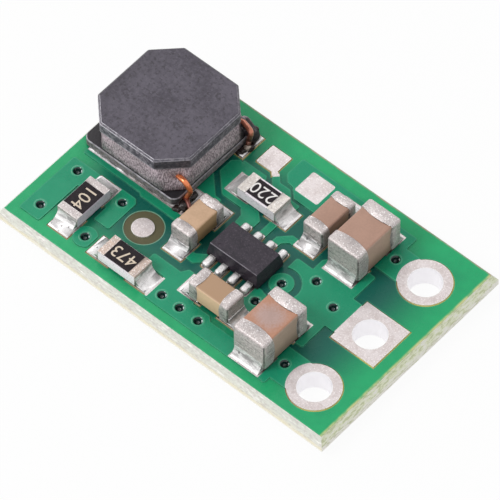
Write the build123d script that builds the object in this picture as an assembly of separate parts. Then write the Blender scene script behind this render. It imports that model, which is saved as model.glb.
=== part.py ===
from build123d import *
import math
import os
from collections import namedtuple

# Boost converter module: a bare step-up regulator board. All sizes are in millimetres.
# X runs along the board towards the pin holes, Y towards the back edge and Z up.
# The origin is the centre of the board's underside.

# Board, copper and mask
board_width = 8.13
laminate_thickness = 0.71
copper_thickness = 0.035
mask_thickness = 0.02
tin_thickness = 0.012
score_setback = 0.16
score_depth = 0.24
pour_setback = 0.5
copper_gap = 0.12
mask_clearance = 0.04
pour_corner_radius = 0.05

# Plated pin holes in a row along the right edge
pin_pitch = 2.54
pin_row_x = 5.07
pin_edge_distance = 1.47
pin_row_y = -0.165
pin_hole_diameter = 1.09
pin_land_diameter = 1.69
plating_wall = 0.018

# Vias and the fiducial
via_hole_diameter = 0.33
via_wall = 0.03
via_ring_diameter = 0.74
via_ring_gap = 0.28
via_neck_width = 0.3
bottom_isolation = 0.15
pin_link_reach = 1.25
pin_link_half_width = 0.63
fiducial_diameter = 0.72
fiducial_opening = 1.26

# Solder under and around the parts
solder_gap = 0.03
solder_inset = 0.02

# Drum inductor
drum_side = 3.78
drum_height = 1.7
base_thickness = 0.27
base_corner_cut = 0.16
base_corner_radius = 0.25
base_edge = 0.03
flange_length = 3.78
flange_width = 3.88
flange_thickness = 0.43
flange_corner_cut = 0.79
flange_edge = 0.065
flange_corner_radius = 0.12
post_diameter = 1.7
winding_diameter = 2.9
resin_inset = 0.035
resin_top_inset = 0.1
resin_corner_cut = 0.72
resin_wire_corner_cut = 0.52
resin_corner_radius = 0.18
wire_diameter = 0.18
wire_bead_diameter = 0.26
electrode_thickness = 0.03
electrode_depth = 0.85
electrode_length = 3.3

# Routes of the wire tails and runs of resin, measured from the inductor's centre at its foot
front_wire = [(1.1, -1.3, 0.78), (1.92, -1.42, 0.82), (2.1, -1.39, 0.5), (1.99, -1.45, 0.14),
              (2.1, -1.6, 0.05)]
front_bends = [0.2, 0.25, 0.1]
back_wire = [(1.15, 1.25, 0.62), (1.62, 1.55, 0.66), (2.1, 1.4, 0.7), (1.99, 1.39, 0.2),
             (2.06, 1.25, 0.05)]
back_bends = [0.2, 0.12, 0.1]
back_run = ((1.6, 1.6, 0.5), (1.9, 1.66, 0.1))
back_run_diameter = 0.46
inductor_land_length = 3.79
inductor_land_depth = 1.01
inductor_land_toe = 0.015

# Regulator chip with eight flat leads
regulator_length = 2.02
regulator_width = 1.2
regulator_height = 0.55
regulator_draft = 10
lead_pitch = 0.5
leads_per_side = 4
lead_width = 0.21
lead_thickness = 0.12
lead_edge_radius = 0.04
lead_reach = 0.2
lead_root = 0.22
lead_land_width = 0.28
lead_land_length = 0.45
lead_land_toe = 0.23
lead_land_radius = 0.06
index_mark_diameter = 0.15
index_mark_depth = 0.012
index_mark_inset_x = 0.36
index_mark_inset_y = 0.2

# Chip sizes: length, width, height, end metal length and wall, land width, overall land span, fillet
# height, and how far a resistor's overcoat stays back from each side
ChipSize = namedtuple("ChipSize", "length width height band wall land_width land_span fillet margin",
                      defaults=[0.02])
small_capacitor = ChipSize(1.6, 0.8, 0.8, 0.36, 0.025, 0.76, 2.4, 0.26)
large_capacitor = ChipSize(2.0, 1.25, 1.25, 0.49, 0.03, 1.12, 2.47, 0.34)
chip_resistor = ChipSize(1.5, 0.8, 0.44, 0.26, 0.02, 0.78, 2.43, 0.32)
wide_band_resistor = ChipSize(1.5, 0.76, 0.44, 0.32, 0.02, 0.76, 2.41, 0.32, 0.065)
chip_land_length = 0.86
meniscus_ratio = 1.6
ceramic_radius = 0.07
metal_radius = 0.1
fillet_lean = 0.33
bead_height = 0.17
bead_radius = 0.1
bead_top_radius = 0.09
overcoat_thickness = 0.03

# Places of the parts: X, Y and the turn about Z in degrees
Place = namedtuple("Place", "x y turn")
inductor_place = Place(-4.33, 1.36, 0)
inductor_land_place = Place(-4.045, 1.345, 0)
regulator_place = Place(0.43, -0.57, 0)
resistors = {
    "resistor_1": (chip_resistor, Place(-4.56, -2.29, 90)),
    "resistor_2": (chip_resistor, Place(-2.17, -3.1, 0)),
    "resistor_3": (wide_band_resistor, Place(-0.58, 1.435, 0)),
}
capacitors = {
    "capacitor_1": (small_capacitor, Place(-1.38, -0.68, 90)),
    "capacitor_2": (small_capacitor, Place(0.85, -2.345, 0)),
    "capacitor_3": (small_capacitor, Place(1.565, 2.01, 90)),
    "capacitor_4": (large_capacitor, Place(2.96, 1.99, 90)),
    "capacitor_5": (large_capacitor, Place(2.97, -2.3, 90)),
}
via_places = [(-5.62, -1.42), (-3.79, -1.42), (-5.62, -3.1), (-3.79, -3.1), (-0.59, -3.19),
              (0.12, -3.19), (0.86, -3.19), (1.67, -1.51), (1.84, -0.51), (2.58, 0.25),
              (3.59, -0.15), (3.84, 2.43), (3.85, -2.66)]
ringed_vias = [(-3.79, -3.1), (1.84, -0.51)]
ground_vias = [(2.58, 0.25), (3.59, -0.15)]
fiducial_place = (-2.7, -1.7)
fiducial_opening_place = (-2.68, -1.67)

# Two bare lands for a part that is not fitted: X, Y, length and width
spare_land_left = (-1.4, 2.84, 0.76, 0.78)
spare_land_right = (0.265, 2.84, 0.83, 0.82)
spare_land_radius = 0.03
spare_stub_length = 0.14
spare_stub_width = 0.2

# Levels above the underside and sizes that follow from the ones above
board_length = 2 * (pin_row_x + pin_edge_distance)
laminate_bottom = mask_thickness + copper_thickness
laminate_top = laminate_bottom + laminate_thickness
copper_top = laminate_top + copper_thickness
mask_top = copper_top + mask_thickness
land_top = copper_top + tin_thickness
land_bottom = laminate_bottom - copper_thickness - tin_thickness
face_length = board_length - 2 * score_setback
face_width = board_width - 2 * score_setback
pin_places = {
    "pin_hole_front": (pin_row_x, pin_row_y - pin_pitch),
    "pin_hole_middle": (pin_row_x, pin_row_y),
    "pin_hole_back": (pin_row_x, pin_row_y + pin_pitch),
}


def block(length, width, bottom, top, x=0, y=0):
    # a box between two levels, centred on x and y
    return Pos(x, y, bottom) * Box(length, width, top - bottom, align=(Align.CENTER, Align.CENTER, Align.MIN))


def disc(diameter, bottom, top, x=0, y=0):
    # a round disc between two levels
    return Pos(x, y, bottom) * Cylinder(diameter / 2, top - bottom, align=(Align.CENTER, Align.CENTER, Align.MIN))


def slab(sketch, bottom, top):
    # a flat shape raised between two levels
    return Pos(0, 0, bottom) * extrude(sketch, top - bottom, dir=(0, 0, 1))


def patch(length, width, x, y, radius=0.0):
    # a flat rectangle, with rounded corners if a radius is given
    if radius > 0:
        return Pos(x, y) * RectangleRounded(length, width, radius)
    return Pos(x, y) * Rectangle(length, width)


def span(left, right, front, back):
    # a flat rectangle between four edges
    return patch(right - left, back - front, (left + right) / 2, (front + back) / 2)


def outline(*points, radius=pour_corner_radius):
    # a closed flat outline with its corners rounded
    shape = make_face(Polyline(*points, close=True))
    return fillet(shape.vertices(), radius)


def placed(shape, place, height=0):
    # a shape carried from its own frame to its place on the board
    return Pos(place.x, place.y, height) * Rot(0, 0, place.turn) * shape


def joined(shapes):
    # separate solids kept as one group
    solids = []
    for shape in shapes:
        solids.extend(shape.solids())
    return Compound(children=solids)


def write(name, shape):
    # one file for each named piece
    export_step(shape, f"parts/{name}.step")


# Flat layout: lands, openings in the mask and copper areas

def chip_lands(size, place, grow):
    # the two lands of a chip part
    reach = (size.land_span - chip_land_length) / 2
    pair = []
    for side in (-1, 1):
        land = Pos(side * reach, 0) * Rectangle(chip_land_length + 2 * grow, size.land_width + 2 * grow)
        pair.append(Pos(place.x, place.y) * Rot(0, 0, place.turn) * land)
    return pair


def lead_stations():
    # X and Y of each lead's side of the body, as a row number and a side
    first = -(leads_per_side - 1) / 2 * lead_pitch
    stations = []
    for side in (-1, 1):
        for number in range(leads_per_side):
            stations.append((first + number * lead_pitch, side))
    return stations


def regulator_lands(grow):
    # eight small lands under the lead ends
    reach = regulator_width / 2 + lead_reach + lead_land_toe - lead_land_length / 2
    lands = []
    for x, side in lead_stations():
        lands.append(patch(lead_land_width + 2 * grow, lead_land_length + 2 * grow,
                           regulator_place.x + x, regulator_place.y + side * reach,
                           lead_land_radius + grow))
    return lands


def inductor_lands(grow):
    # one land along the front of the inductor and one along its back
    reach = drum_side / 2 + inductor_land_toe - inductor_land_depth / 2
    lands = []
    for side in (-1, 1):
        lands.append(patch(inductor_land_length + 2 * grow, inductor_land_depth + 2 * grow,
                           inductor_land_place.x, inductor_land_place.y + side * reach))
    return lands


def spare_lands(grow):
    # two bare lands, the left one with a short stub at the corner where its trace leaves
    lands = []
    for x, y, length, width in (spare_land_left, spare_land_right):
        lands.append(patch(length + 2 * grow, width + 2 * grow, x, y, spare_land_radius + grow))
    x, y, length, width = spare_land_left
    stub = Rectangle(spare_stub_length + 2 * grow, spare_stub_width + 2 * grow)
    lands[0] = lands[0] + Pos(x + length / 2, y - width / 2) * Rot(0, 0, -45) * stub
    return lands


def pin_land(name, grow):
    # round lands at the ends of the row and a square one in the middle
    x, y = pin_places[name]
    if name == "pin_hole_middle":
        return patch(pin_land_diameter + 2 * grow, pin_land_diameter + 2 * grow, x, y)
    return Pos(x, y) * Circle(pin_land_diameter / 2 + grow)


def land_shapes(grow):
    # every land by name, each side moved out by the given amount
    lands = {}
    for name, (size, place) in {**resistors, **capacitors}.items():
        for number, land in enumerate(chip_lands(size, place, grow)):
            lands[name, number] = land
    for group, shapes in (("regulator", regulator_lands(grow)), ("inductor", inductor_lands(grow)),
                          ("spare", spare_lands(grow))):
        for number, land in enumerate(shapes):
            lands[group, number] = land
    for name in pin_places:
        lands[name, 0] = pin_land(name, grow)
    return lands


def pours():
    # copper areas of the top face as seen through the mask, each with the lands that it joins
    left = -board_length / 2 + pour_setback
    front = -board_width / 2 + pour_setback
    pin_x = pin_row_x
    link = pin_x - pin_link_reach
    middle_y = pin_row_y
    ring_x, ring_y = ringed_vias[0]
    return [
        ({("resistor_1", 1)},
         outline((left, front), (-5.28, front), (-5.28, -1.8), (-4.8, -1.8), (-4.8, -1.1), (left, -1.1))),
        ({("resistor_1", 1)},
         outline((-4.02, -2.42), (-3.46, -2.42), (-3.46, -1.2), (-3.6, -1.06), (-4.4, -1.06),
                 (-4.4, -1.85), (-4.02, -1.85))),
        ({("resistor_1", 0)},
         Pos(ring_x, ring_y) * Circle(via_ring_diameter / 2)
         + span(resistors["resistor_1"][1].x, ring_x, ring_y - via_neck_width / 2, ring_y + via_neck_width / 2)),
        ({("inductor", 0), ("capacitor_1", 1)},
         outline((-5.95, -0.76), (-3.65, -0.76), (-3.55, -0.84), (-1.9, -0.84), (-1.9, 0.1),
                 (-1.6, 0.1), (-1.6, 0.62), (-1.84, 0.62), (-2.55, 1.3), (-2.95, 1.55), (-3.4, 0.6),
                 (-5.95, 0.6))),
        ({("resistor_3", 0), ("regulator", 4)},
         outline((-2.35, 1.95), (-2.1, 2.2), (-1.15, 2.2), (-1.0, 1.95), (-1.0, 1.03), (-0.45, 1.03),
                 (-0.2, 0.8), (-0.2, 0.3), (-0.72, 0.3), (-0.75, 0.62), (-0.95, 0.83), (-1.7, 0.83),
                 (-2.35, 1.45))),
        ({("spare", 0), ("resistor_3", 1)},
         outline((-1.08, 2.42), (-0.92, 2.55), (-0.68, 2.28), (-0.28, 2.28), (0.02, 2.0), (0.35, 2.0),
                 (0.35, 1.7), (-0.1, 1.7), (-0.4, 2.06), (-0.76, 2.06))),
        ({("resistor_3", 1), ("regulator", 5)}, span(0.09, 0.31, 0.3, 1.2)),
        ({("capacitor_3", 0), ("regulator", 6)},
         outline((0.6, 0.3), (0.82, 0.3), (0.82, 0.6), (1.02, 0.8), (1.4, 0.8), (1.4, 1.04),
                 (0.93, 1.04), (0.6, 0.7))),
        ({("spare", 1), ("capacitor_3", 1), ("capacitor_4", 1), ("pin_hole_back", 0)},
         outline((-0.72, 3.42), (-0.72, 2.72), (-0.5, 2.48), (-0.25, 2.44), (0.05, 2.14), (3.5, 2.14),
                 (3.5, 1.84), (pin_x, 1.84), (pin_x, 2.92), (link, 2.92), (link, 3.42))),
        ({("capacitor_4", 0), ("capacitor_5", 1), ("pin_hole_middle", 0)},
         outline((1.6, -0.5), (1.6, 0.5), (2.22, 0.5), (2.22, 0.95), (2.35, 1.12), (2.35, 1.5),
                 (link, 1.5), (link, middle_y + pin_link_half_width),
                 (pin_x, middle_y + pin_link_half_width), (pin_x, middle_y - pin_link_half_width),
                 (link, middle_y - pin_link_half_width), (link, -1.85), (2.3, -1.85), (2.3, -0.5))),
        ({("regulator", 3), ("capacitor_2", 1)},
         outline((1.1, -1.45), (1.3, -1.1), (2.08, -1.1), (2.08, -2.3), (1.5, -2.3), (1.5, -1.8),
                 (1.3, -1.6))),
        ({("capacitor_2", 0), ("capacitor_5", 0), ("resistor_2", 1), ("pin_hole_front", 0)},
         outline((-1.78, -2.2), (-0.72, -2.2), (-0.58, -1.97), (0.3, -1.97), (0.3, -2.85), (1.0, -2.85),
                 (1.15, -3.0), (2.2, -3.0), (2.45, -2.75), (3.5, -2.75), (3.5, -2.12), (pin_x, -2.12),
                 (pin_x, -3.3), (link, -3.3), (link, front), (-0.99, front), (-0.99, -2.62),
                 (-1.78, -2.62))),
        ({("regulator", 0), ("capacitor_1", 0)},
         outline((-0.5, -1.14), (-0.2, -1.14), (-0.2, -1.45), (-0.45, -1.45), (-0.7, -1.68),
                 (-1.2, -1.68), (-1.2, -1.4), (-0.85, -1.4))),
        ({("ringed_via", 0)}, Pos(*ringed_vias[1]) * Circle(via_ring_diameter / 2)),
    ]


def near(shape, others):
    # those of the other flat shapes whose bounds meet this one's
    bounds = shape.bounding_box()
    close = []
    for other in others:
        box = other.bounding_box()
        if (box.min.X < bounds.max.X and box.max.X > bounds.min.X
                and box.min.Y < bounds.max.Y and box.max.Y > bounds.min.Y):
            close.append(other)
    return close


def keepouts(grow):
    # what copper that doesn't join a land, or the via with copper of its own, stays clear of
    areas = land_shapes(copper_gap - grow)
    areas["ringed_via", 0] = Pos(*ringed_vias[1]) * Circle(via_ring_diameter / 2 + via_ring_gap - grow)
    return areas


def copper_areas(grow):
    # each copper area of the top face by the lands that it joins, its sides moved out if asked
    clear = keepouts(grow)
    areas = []
    for joins, area in pours():
        if grow > 0:
            area = offset(area, grow)
        foreign = near(area, [shape for name, shape in clear.items() if name not in joins])
        if foreign:
            area = area - foreign
        areas.append((joins, area))
    return areas


def top_layout():
    # the lands as tinned, their openings in the mask, and the copper that stays under it
    lands = land_shapes(0)
    openings = land_shapes(mask_clearance)
    areas = copper_areas(0)
    for joins, area in areas:
        for name in joins:
            if name in lands:
                lands[name] = lands[name] + (area & openings[name])
    copper = areas[0][1] + [area for joins, area in areas[1:]]
    barrels = [Pos(x, y) * Circle(via_hole_diameter / 2 + via_wall) for x, y in via_places]
    return lands, openings, copper - list(openings.values()) - barrels


def bottom_copper():
    # one ground area, kept clear of the two outer pins and of the signal vias, without cut-off scraps
    area = Rectangle(board_length - 2 * pour_setback, board_width - 2 * pour_setback)
    holes = []
    for name in pin_places:
        gap = mask_clearance if name == "pin_hole_middle" else bottom_isolation
        holes.append(pin_land(name, gap))
    for x, y in via_places:
        gap = 0 if (x, y) in ground_vias else bottom_isolation
        holes.append(Pos(x, y) * Circle(via_hole_diameter / 2 + via_wall + gap))
    return (area - holes).faces().sort_by(SortBy.AREA)[-1]


# The bare board

def laminate_core():
    # glass laminate snapped out of a panel along V scores, so each edge is a blunt wedge
    web = laminate_thickness - 2 * score_depth
    slope = math.degrees(math.atan(score_setback / score_depth))
    outer = Rectangle(board_length, board_width)
    core = slab(outer, laminate_bottom + score_depth, laminate_top - score_depth)
    upper = extrude(outer, score_depth, taper=slope)
    core = core + Pos(0, 0, laminate_top - score_depth) * upper
    core = core + Pos(0, 0, laminate_top - score_depth - web) * (Rot(180, 0, 0) * upper)
    for x, y in via_places:
        core = core - disc(via_hole_diameter + 2 * via_wall, 0, land_top, x, y)
    for x, y in pin_places.values():
        core = core - disc(pin_hole_diameter + 2 * plating_wall, 0, land_top, x, y)
    return core


def via_circles():
    # the vias' holes in the two coats of mask
    return [Pos(x, y) * Circle(via_hole_diameter / 2) for x, y in via_places]


def solder_mask_top(openings, copper_solid, barrels):
    # a thin coat that climbs over the copper and leaves the lands and the fiducial open
    x, y = fiducial_opening_place
    cuts = list(openings.values()) + via_circles() + [Pos(x, y) * Circle(fiducial_opening / 2)]
    low = Rectangle(face_length, face_width) - cuts
    areas = [area for joins, area in copper_areas(mask_thickness)]
    high = areas[0] + areas[1:] - cuts
    coat = slab(low, laminate_top, laminate_top + mask_thickness) + slab(high, laminate_top, mask_top)
    return coat - copper_solid - barrels


def solder_mask_bottom(copper_solid, barrels):
    # the coat of the underside, on which the board rests
    cuts = [pin_land(name, mask_clearance) for name in pin_places] + via_circles()
    coat = slab(Rectangle(face_length, face_width) - cuts, 0, laminate_bottom)
    return coat - copper_solid - barrels


def plated_hole(name, land):
    # a plated barrel with its tinned land on each face
    x, y = pin_places[name]
    hole = disc(pin_hole_diameter, 0, land_top, x, y)
    barrel = disc(pin_hole_diameter + 2 * plating_wall, land_bottom, land_top, x, y)
    lower = slab(pin_land(name, 0), land_bottom, laminate_bottom)
    return barrel + slab(land, laminate_top, land_top) + lower - hole


def via_barrels():
    # thin copper tubes through the board
    tubes = []
    for x, y in via_places:
        tube = disc(via_hole_diameter + 2 * via_wall, mask_thickness, copper_top, x, y)
        tubes.append(tube - disc(via_hole_diameter, 0, land_top, x, y))
    return joined(tubes)


def lands_of(group, lands):
    # the tinned lands of one group of parts
    return joined([slab(shape, laminate_top, land_top) for (name, number), shape in lands.items()
                   if name.startswith(group)])


# Chip parts, each drawn along X with its lands' top at level zero

def rounded_block(length, width, height, radius, level):
    shape = block(length, width, level, level + height)
    return fillet(shape.edges(), radius)


def capacitor_outer(size):
    # the whole chip with its metal, filled
    return rounded_block(size.length, size.width, size.height, metal_radius, solder_gap)


def capacitor_body(size):
    # fired ceramic block with tumbled edges, a little smaller than its metal ends
    return rounded_block(size.length - 2 * size.wall, size.width - 2 * size.wall,
                         size.height - 2 * size.wall, ceramic_radius, solder_gap + size.wall)


def capacitor_terminals(size):
    # dipped metal caps: the dip leaves a curved edge on each face, deeper at its middle
    outer = capacitor_outer(size)
    body = capacitor_body(size)
    ball = meniscus_ratio * size.width
    reach = math.sqrt(ball ** 2 - (size.width / 2) ** 2)
    caps = []
    for side in (-1, 1):
        centre = side * (size.length / 2 - size.band + reach)
        dip = Pos(centre, 0, solder_gap + size.height / 2) * Sphere(ball)
        caps.append((outer & dip) - body)
    return joined(caps)


def resistor_outer(size):
    # the whole chip with its metal, filled
    outer = block(size.length, size.width, solder_gap, solder_gap + size.height)
    return fillet(outer.edges().filter_by(Axis.Y), size.wall)


def resistor_body(size):
    # snapped alumina slab
    return block(size.length - 2 * size.wall, size.width, solder_gap + size.wall,
                 solder_gap + size.height - size.wall)


def resistor_terminals(size):
    # metal folded round each end over the top, the end and the underside
    outer = resistor_outer(size)
    body = resistor_body(size)
    ends = []
    for side in (-1, 1):
        centre = side * (size.length - size.band) / 2
        end = block(size.band, size.width, 0, land_top + size.height, centre)
        ends.append((outer & end) - body)
    return joined(ends)


def resistor_overcoat(size):
    # printed coat over the resistive film, between the two ends
    bottom = solder_gap + size.height - size.wall
    return block(size.length - 2 * size.band, size.width - 2 * size.margin, bottom,
                 bottom + overcoat_thickness)


def chip_solder(size, outer):
    # solder under each end and a hollow fillet from the land up the end face
    toe = size.land_span / 2 - solder_inset
    end = size.length / 2
    inner = end - size.band
    top = solder_gap + size.fillet
    step = end - metal_radius
    lean = fillet_lean * math.atan2(toe - end, top)
    hollow = TangentArc((end, top), (toe, 0), tangent=(math.sin(lean), -math.cos(lean)))
    side_view = (Line((inner, 0), (toe, 0)) + hollow
                 + Polyline((end, top), (step, top), (step, solder_gap), (inner, solder_gap), (inner, 0)))
    profile = Plane.XZ * make_face(side_view)
    width = size.land_width - 2 * solder_inset
    wedge = extrude(profile, width / 2, both=True) - outer
    return joined([wedge, Rot(0, 0, 180) * wedge])


# Regulator chip

def regulator_level():
    # the underside of the leads
    return land_top + solder_gap


def regulator_leads():
    # flat leads that leave the body at its underside
    length = lead_reach + lead_root
    strips = []
    for x, side in lead_stations():
        y = side * (regulator_width / 2 + lead_reach - length / 2)
        strip = block(lead_width, length, 0, lead_thickness, x, y)
        outer = strip.faces().sort_by(Axis.Y)[0 if side < 0 else -1]
        strip = fillet(outer.edges().filter_by(Axis.X).sort_by(Axis.Z)[-1:], lead_edge_radius)
        strips.append(strip)
    return placed(joined(strips), regulator_place, regulator_level())


def regulator_body(leads):
    # moulded body: a straight band round the leads, then drafted walls up to the flat top
    plan = Rectangle(regulator_length, regulator_width)
    band = extrude(plan, lead_thickness)
    rise = regulator_height - lead_thickness
    body = band + Pos(0, 0, lead_thickness) * extrude(plan, rise, taper=regulator_draft)
    mark = disc(index_mark_diameter, regulator_height - index_mark_depth, regulator_height,
                index_mark_inset_x - regulator_length / 2, index_mark_inset_y - regulator_width / 2)
    return placed(body - mark, regulator_place, regulator_level()) - leads


def regulator_solder(leads, body):
    # one soft bead on each land, over the end of its lead
    beads = []
    width = lead_land_width - solder_inset
    length = lead_land_length - solder_inset
    reach = regulator_width / 2 + lead_reach + lead_land_toe - lead_land_length / 2
    for x, side in lead_stations():
        bead = block(width, length, 0, bead_height, x, side * reach)
        bead = fillet(bead.edges().filter_by(Axis.Z), bead_radius)
        bead = fillet(bead.faces().sort_by(Axis.Z)[-1].edges(), bead_top_radius)
        beads.append(placed(bead, regulator_place, land_top))
    return joined([bead - leads - body for bead in beads])


# Drum inductor

def inductor_level():
    # the underside of the foot
    return land_top + solder_gap + electrode_thickness


def cut_plan(length, width, cut, wire_cut):
    # a rectangle with its corners cut off, those on the side of the wires by their own amount
    half = length / 2
    side = width / 2
    return make_face(Polyline((half - wire_cut, -side), (half, wire_cut - side), (half, side - wire_cut),
                              (half - wire_cut, side), (cut - half, side), (-half, side - cut),
                              (-half, cut - side), (cut - half, -side), close=True))


def core_slab(length, width, cut, radius, thickness, edge):
    # an end of the drum: its upright corners rounded and its upper edge worn off
    plate = extrude(cut_plan(length, width, cut, cut), thickness)
    plate = fillet(plate.edges().filter_by(Axis.Z), radius)
    return chamfer(plate.faces().sort_by(Axis.Z)[-1].edges(), edge)


def inductor_core():
    # ferrite drum: square foot, round post and eight-sided flange
    foot = core_slab(drum_side, drum_side, base_corner_cut, base_corner_radius, base_thickness,
                     base_edge)
    flange = core_slab(flange_length, flange_width, flange_corner_cut, flange_corner_radius,
                       flange_thickness, flange_edge)
    post = disc(post_diameter, 0, drum_height - flange_thickness)
    return placed(foot + post + Pos(0, 0, drum_height - flange_thickness) * flange, inductor_place,
                  inductor_level())


def inductor_winding():
    # the coil between the two ends, wound tight on the post
    coil = disc(winding_diameter, base_thickness, drum_height - flange_thickness)
    coil = coil - disc(post_diameter, 0, drum_height)
    return placed(coil, inductor_place, inductor_level())


def wire_tail(points, radii):
    # round wire bent along a route
    path = FilletPolyline(*points, radius=radii)
    wire = sweep((path ^ 0) * Circle(wire_diameter / 2), path)
    return placed(wire, inductor_place, inductor_level())


def resin_run(ends, diameter):
    # resin that ran down over the foot beside a wire, with round ends
    path = Line(*ends)
    run = sweep((path ^ 0) * Circle(diameter / 2), path)
    for x, y, z in ends:
        run = run + Pos(x, y, z) * Sphere(diameter / 2)
    return run


def inductor_resin(others):
    # resin loaded with iron powder, poured between the two ends of the drum over the coil
    lower = cut_plan(drum_side - 2 * resin_inset, drum_side - 2 * resin_inset, resin_corner_cut,
                     resin_wire_corner_cut)
    upper = cut_plan(flange_length - 2 * resin_top_inset, flange_width - 2 * resin_top_inset,
                     flange_corner_cut, flange_corner_cut)
    lower = fillet(lower.vertices(), resin_corner_radius)
    upper = fillet(upper.vertices(), resin_corner_radius)
    fill = loft([Pos(0, 0, base_thickness) * lower, Pos(0, 0, drum_height - flange_thickness) * upper])
    fill = fill + resin_run(back_run, back_run_diameter)
    above_land = block(2 * drum_side, 2 * drum_side, -electrode_thickness, drum_height)
    fill = placed(fill & above_land, inductor_place, inductor_level())
    for other in others:
        fill = fill - other
    return fill


def inductor_terminals():
    # plated strips on the underside of the foot
    strips = []
    reach = (drum_side - electrode_depth) / 2 - base_edge
    for side in (-1, 1):
        strip = block(electrode_length, electrode_depth, -electrode_thickness, 0, 0, side * reach)
        strips.append(placed(strip, inductor_place, inductor_level()))
    return joined(strips)


def inductor_solder(others):
    # solder between the lands and the strips, and a bead on the end of each wire
    beds = []
    for land, tip in zip(inductor_lands(-solder_inset), (front_wire[-1], back_wire[-1])):
        bed = slab(land, land_top, land_top + solder_gap)
        above_land = slab(land, land_top, land_top + drum_height)
        bead = placed(Pos(*tip) * Sphere(wire_bead_diameter / 2), inductor_place, land_top + solder_gap)
        beds.append(bed + (bead & above_land))
    return joined([bed - others for bed in beds])


def main():
    os.makedirs("parts", exist_ok=True)
    lands, openings, copper = top_layout()
    copper_solid = slab(copper, laminate_top, copper_top)
    ground = slab(bottom_copper(), mask_thickness, laminate_bottom)
    barrels = via_barrels()
    write("laminate_core", laminate_core())
    write("copper_top", joined([copper_solid]))
    write("copper_bottom", joined([ground]))
    write("solder_mask_top", solder_mask_top(openings, copper_solid, barrels))
    write("solder_mask_bottom", solder_mask_bottom(ground, barrels))
    write("via_barrels", barrels)
    write("fiducial_pad", disc(fiducial_diameter, laminate_top, land_top, *fiducial_place))
    for name in pin_places:
        write(name, plated_hole(name, lands[name, 0]))
    write("spare_lands", lands_of("spare", lands))
    write("inductor_lands", lands_of("inductor", lands))
    write("regulator_lands", lands_of("regulator", lands))
    write("resistor_lands", lands_of("resistor", lands))
    write("capacitor_lands", lands_of("capacitor", lands))

    for name, (size, place) in resistors.items():
        write(f"{name}_body", placed(resistor_body(size), place, land_top))
        write(f"{name}_terminals", placed(resistor_terminals(size), place, land_top))
        write(f"{name}_overcoat", placed(resistor_overcoat(size), place, land_top))
        write(f"{name}_solder", placed(chip_solder(size, resistor_outer(size)), place, land_top))
    for name, (size, place) in capacitors.items():
        write(f"{name}_body", placed(capacitor_body(size), place, land_top))
        write(f"{name}_terminals", placed(capacitor_terminals(size), place, land_top))
        write(f"{name}_solder", placed(chip_solder(size, capacitor_outer(size)), place, land_top))

    leads = regulator_leads()
    body = regulator_body(leads)
    write("regulator_body", body)
    write("regulator_leads", leads)
    write("regulator_solder", regulator_solder(leads, body))

    core = inductor_core()
    winding = inductor_winding()
    front_tail = wire_tail(front_wire, front_bends) - winding
    back_tail = wire_tail(back_wire, back_bends) - winding
    strips = inductor_terminals()
    resin = inductor_resin([front_tail, back_tail, core, winding, strips])
    write("inductor_core", core)
    write("inductor_winding", winding)
    write("inductor_wire_front", front_tail)
    write("inductor_wire_back", back_tail)
    write("inductor_resin", resin)
    write("inductor_terminals", strips)
    write("inductor_solder", inductor_solder([strips, front_tail, back_tail, resin, core]))


main()
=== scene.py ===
import logging
import math
from dataclasses import dataclass
from enum import Enum
from typing import Sequence

import bpy
from mathutils import Matrix, Vector


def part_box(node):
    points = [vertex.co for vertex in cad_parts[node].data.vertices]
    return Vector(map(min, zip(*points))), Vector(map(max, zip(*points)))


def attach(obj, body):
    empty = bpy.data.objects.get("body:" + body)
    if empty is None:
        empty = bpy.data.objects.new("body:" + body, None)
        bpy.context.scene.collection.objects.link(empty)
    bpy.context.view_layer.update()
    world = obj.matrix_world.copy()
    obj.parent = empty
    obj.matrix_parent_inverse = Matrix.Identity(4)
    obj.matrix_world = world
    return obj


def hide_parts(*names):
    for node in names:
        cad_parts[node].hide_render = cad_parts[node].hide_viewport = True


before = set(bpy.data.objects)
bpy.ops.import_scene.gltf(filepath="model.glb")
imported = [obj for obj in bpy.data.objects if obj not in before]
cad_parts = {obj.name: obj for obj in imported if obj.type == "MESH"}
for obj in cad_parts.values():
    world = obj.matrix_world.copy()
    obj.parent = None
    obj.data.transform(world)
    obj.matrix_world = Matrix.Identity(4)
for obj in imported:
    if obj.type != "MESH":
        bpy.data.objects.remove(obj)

log = logging.getLogger("boost_converter")

Pair = tuple[float, float]
Triple = tuple[float, float, float]
Colour = Triple
Socket = bpy.types.NodeSocket
Value = float | Socket
Look = Colour | Socket

MM = 0.001
# Sizes from here on are in millimetres: the middle of the marker pad, and the height of the upper
# face of the inductor's foot.
MARKER: Pair = (-2.68, -1.67)
FOOT_TOP = 1.142
# How far up a face looks, where a mask is 0 and where it is 1.
LEVEL: Pair = (0.85, 0.97)
SLOPING: Pair = (0.95, 0.85)
STEEP: Pair = (0.5, 0.2)


def shade(red: int, green: int, blue: int) -> Colour:
    """Turn a display colour from 0 to 255 into the linear colour that a shader takes.

    Args:
        red: Red as a screen shows it.
        green: Green as a screen shows it.
        blue: Blue as a screen shows it.

    Returns:
        The linear colour.
    """
    def linear(level: float) -> float:
        """Undo the display curve for one channel."""
        return level / 12.92 if level <= 0.04045 else ((level + 0.055) / 1.055) ** 2.4
    return linear(red / 255), linear(green / 255), linear(blue / 255)


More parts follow.
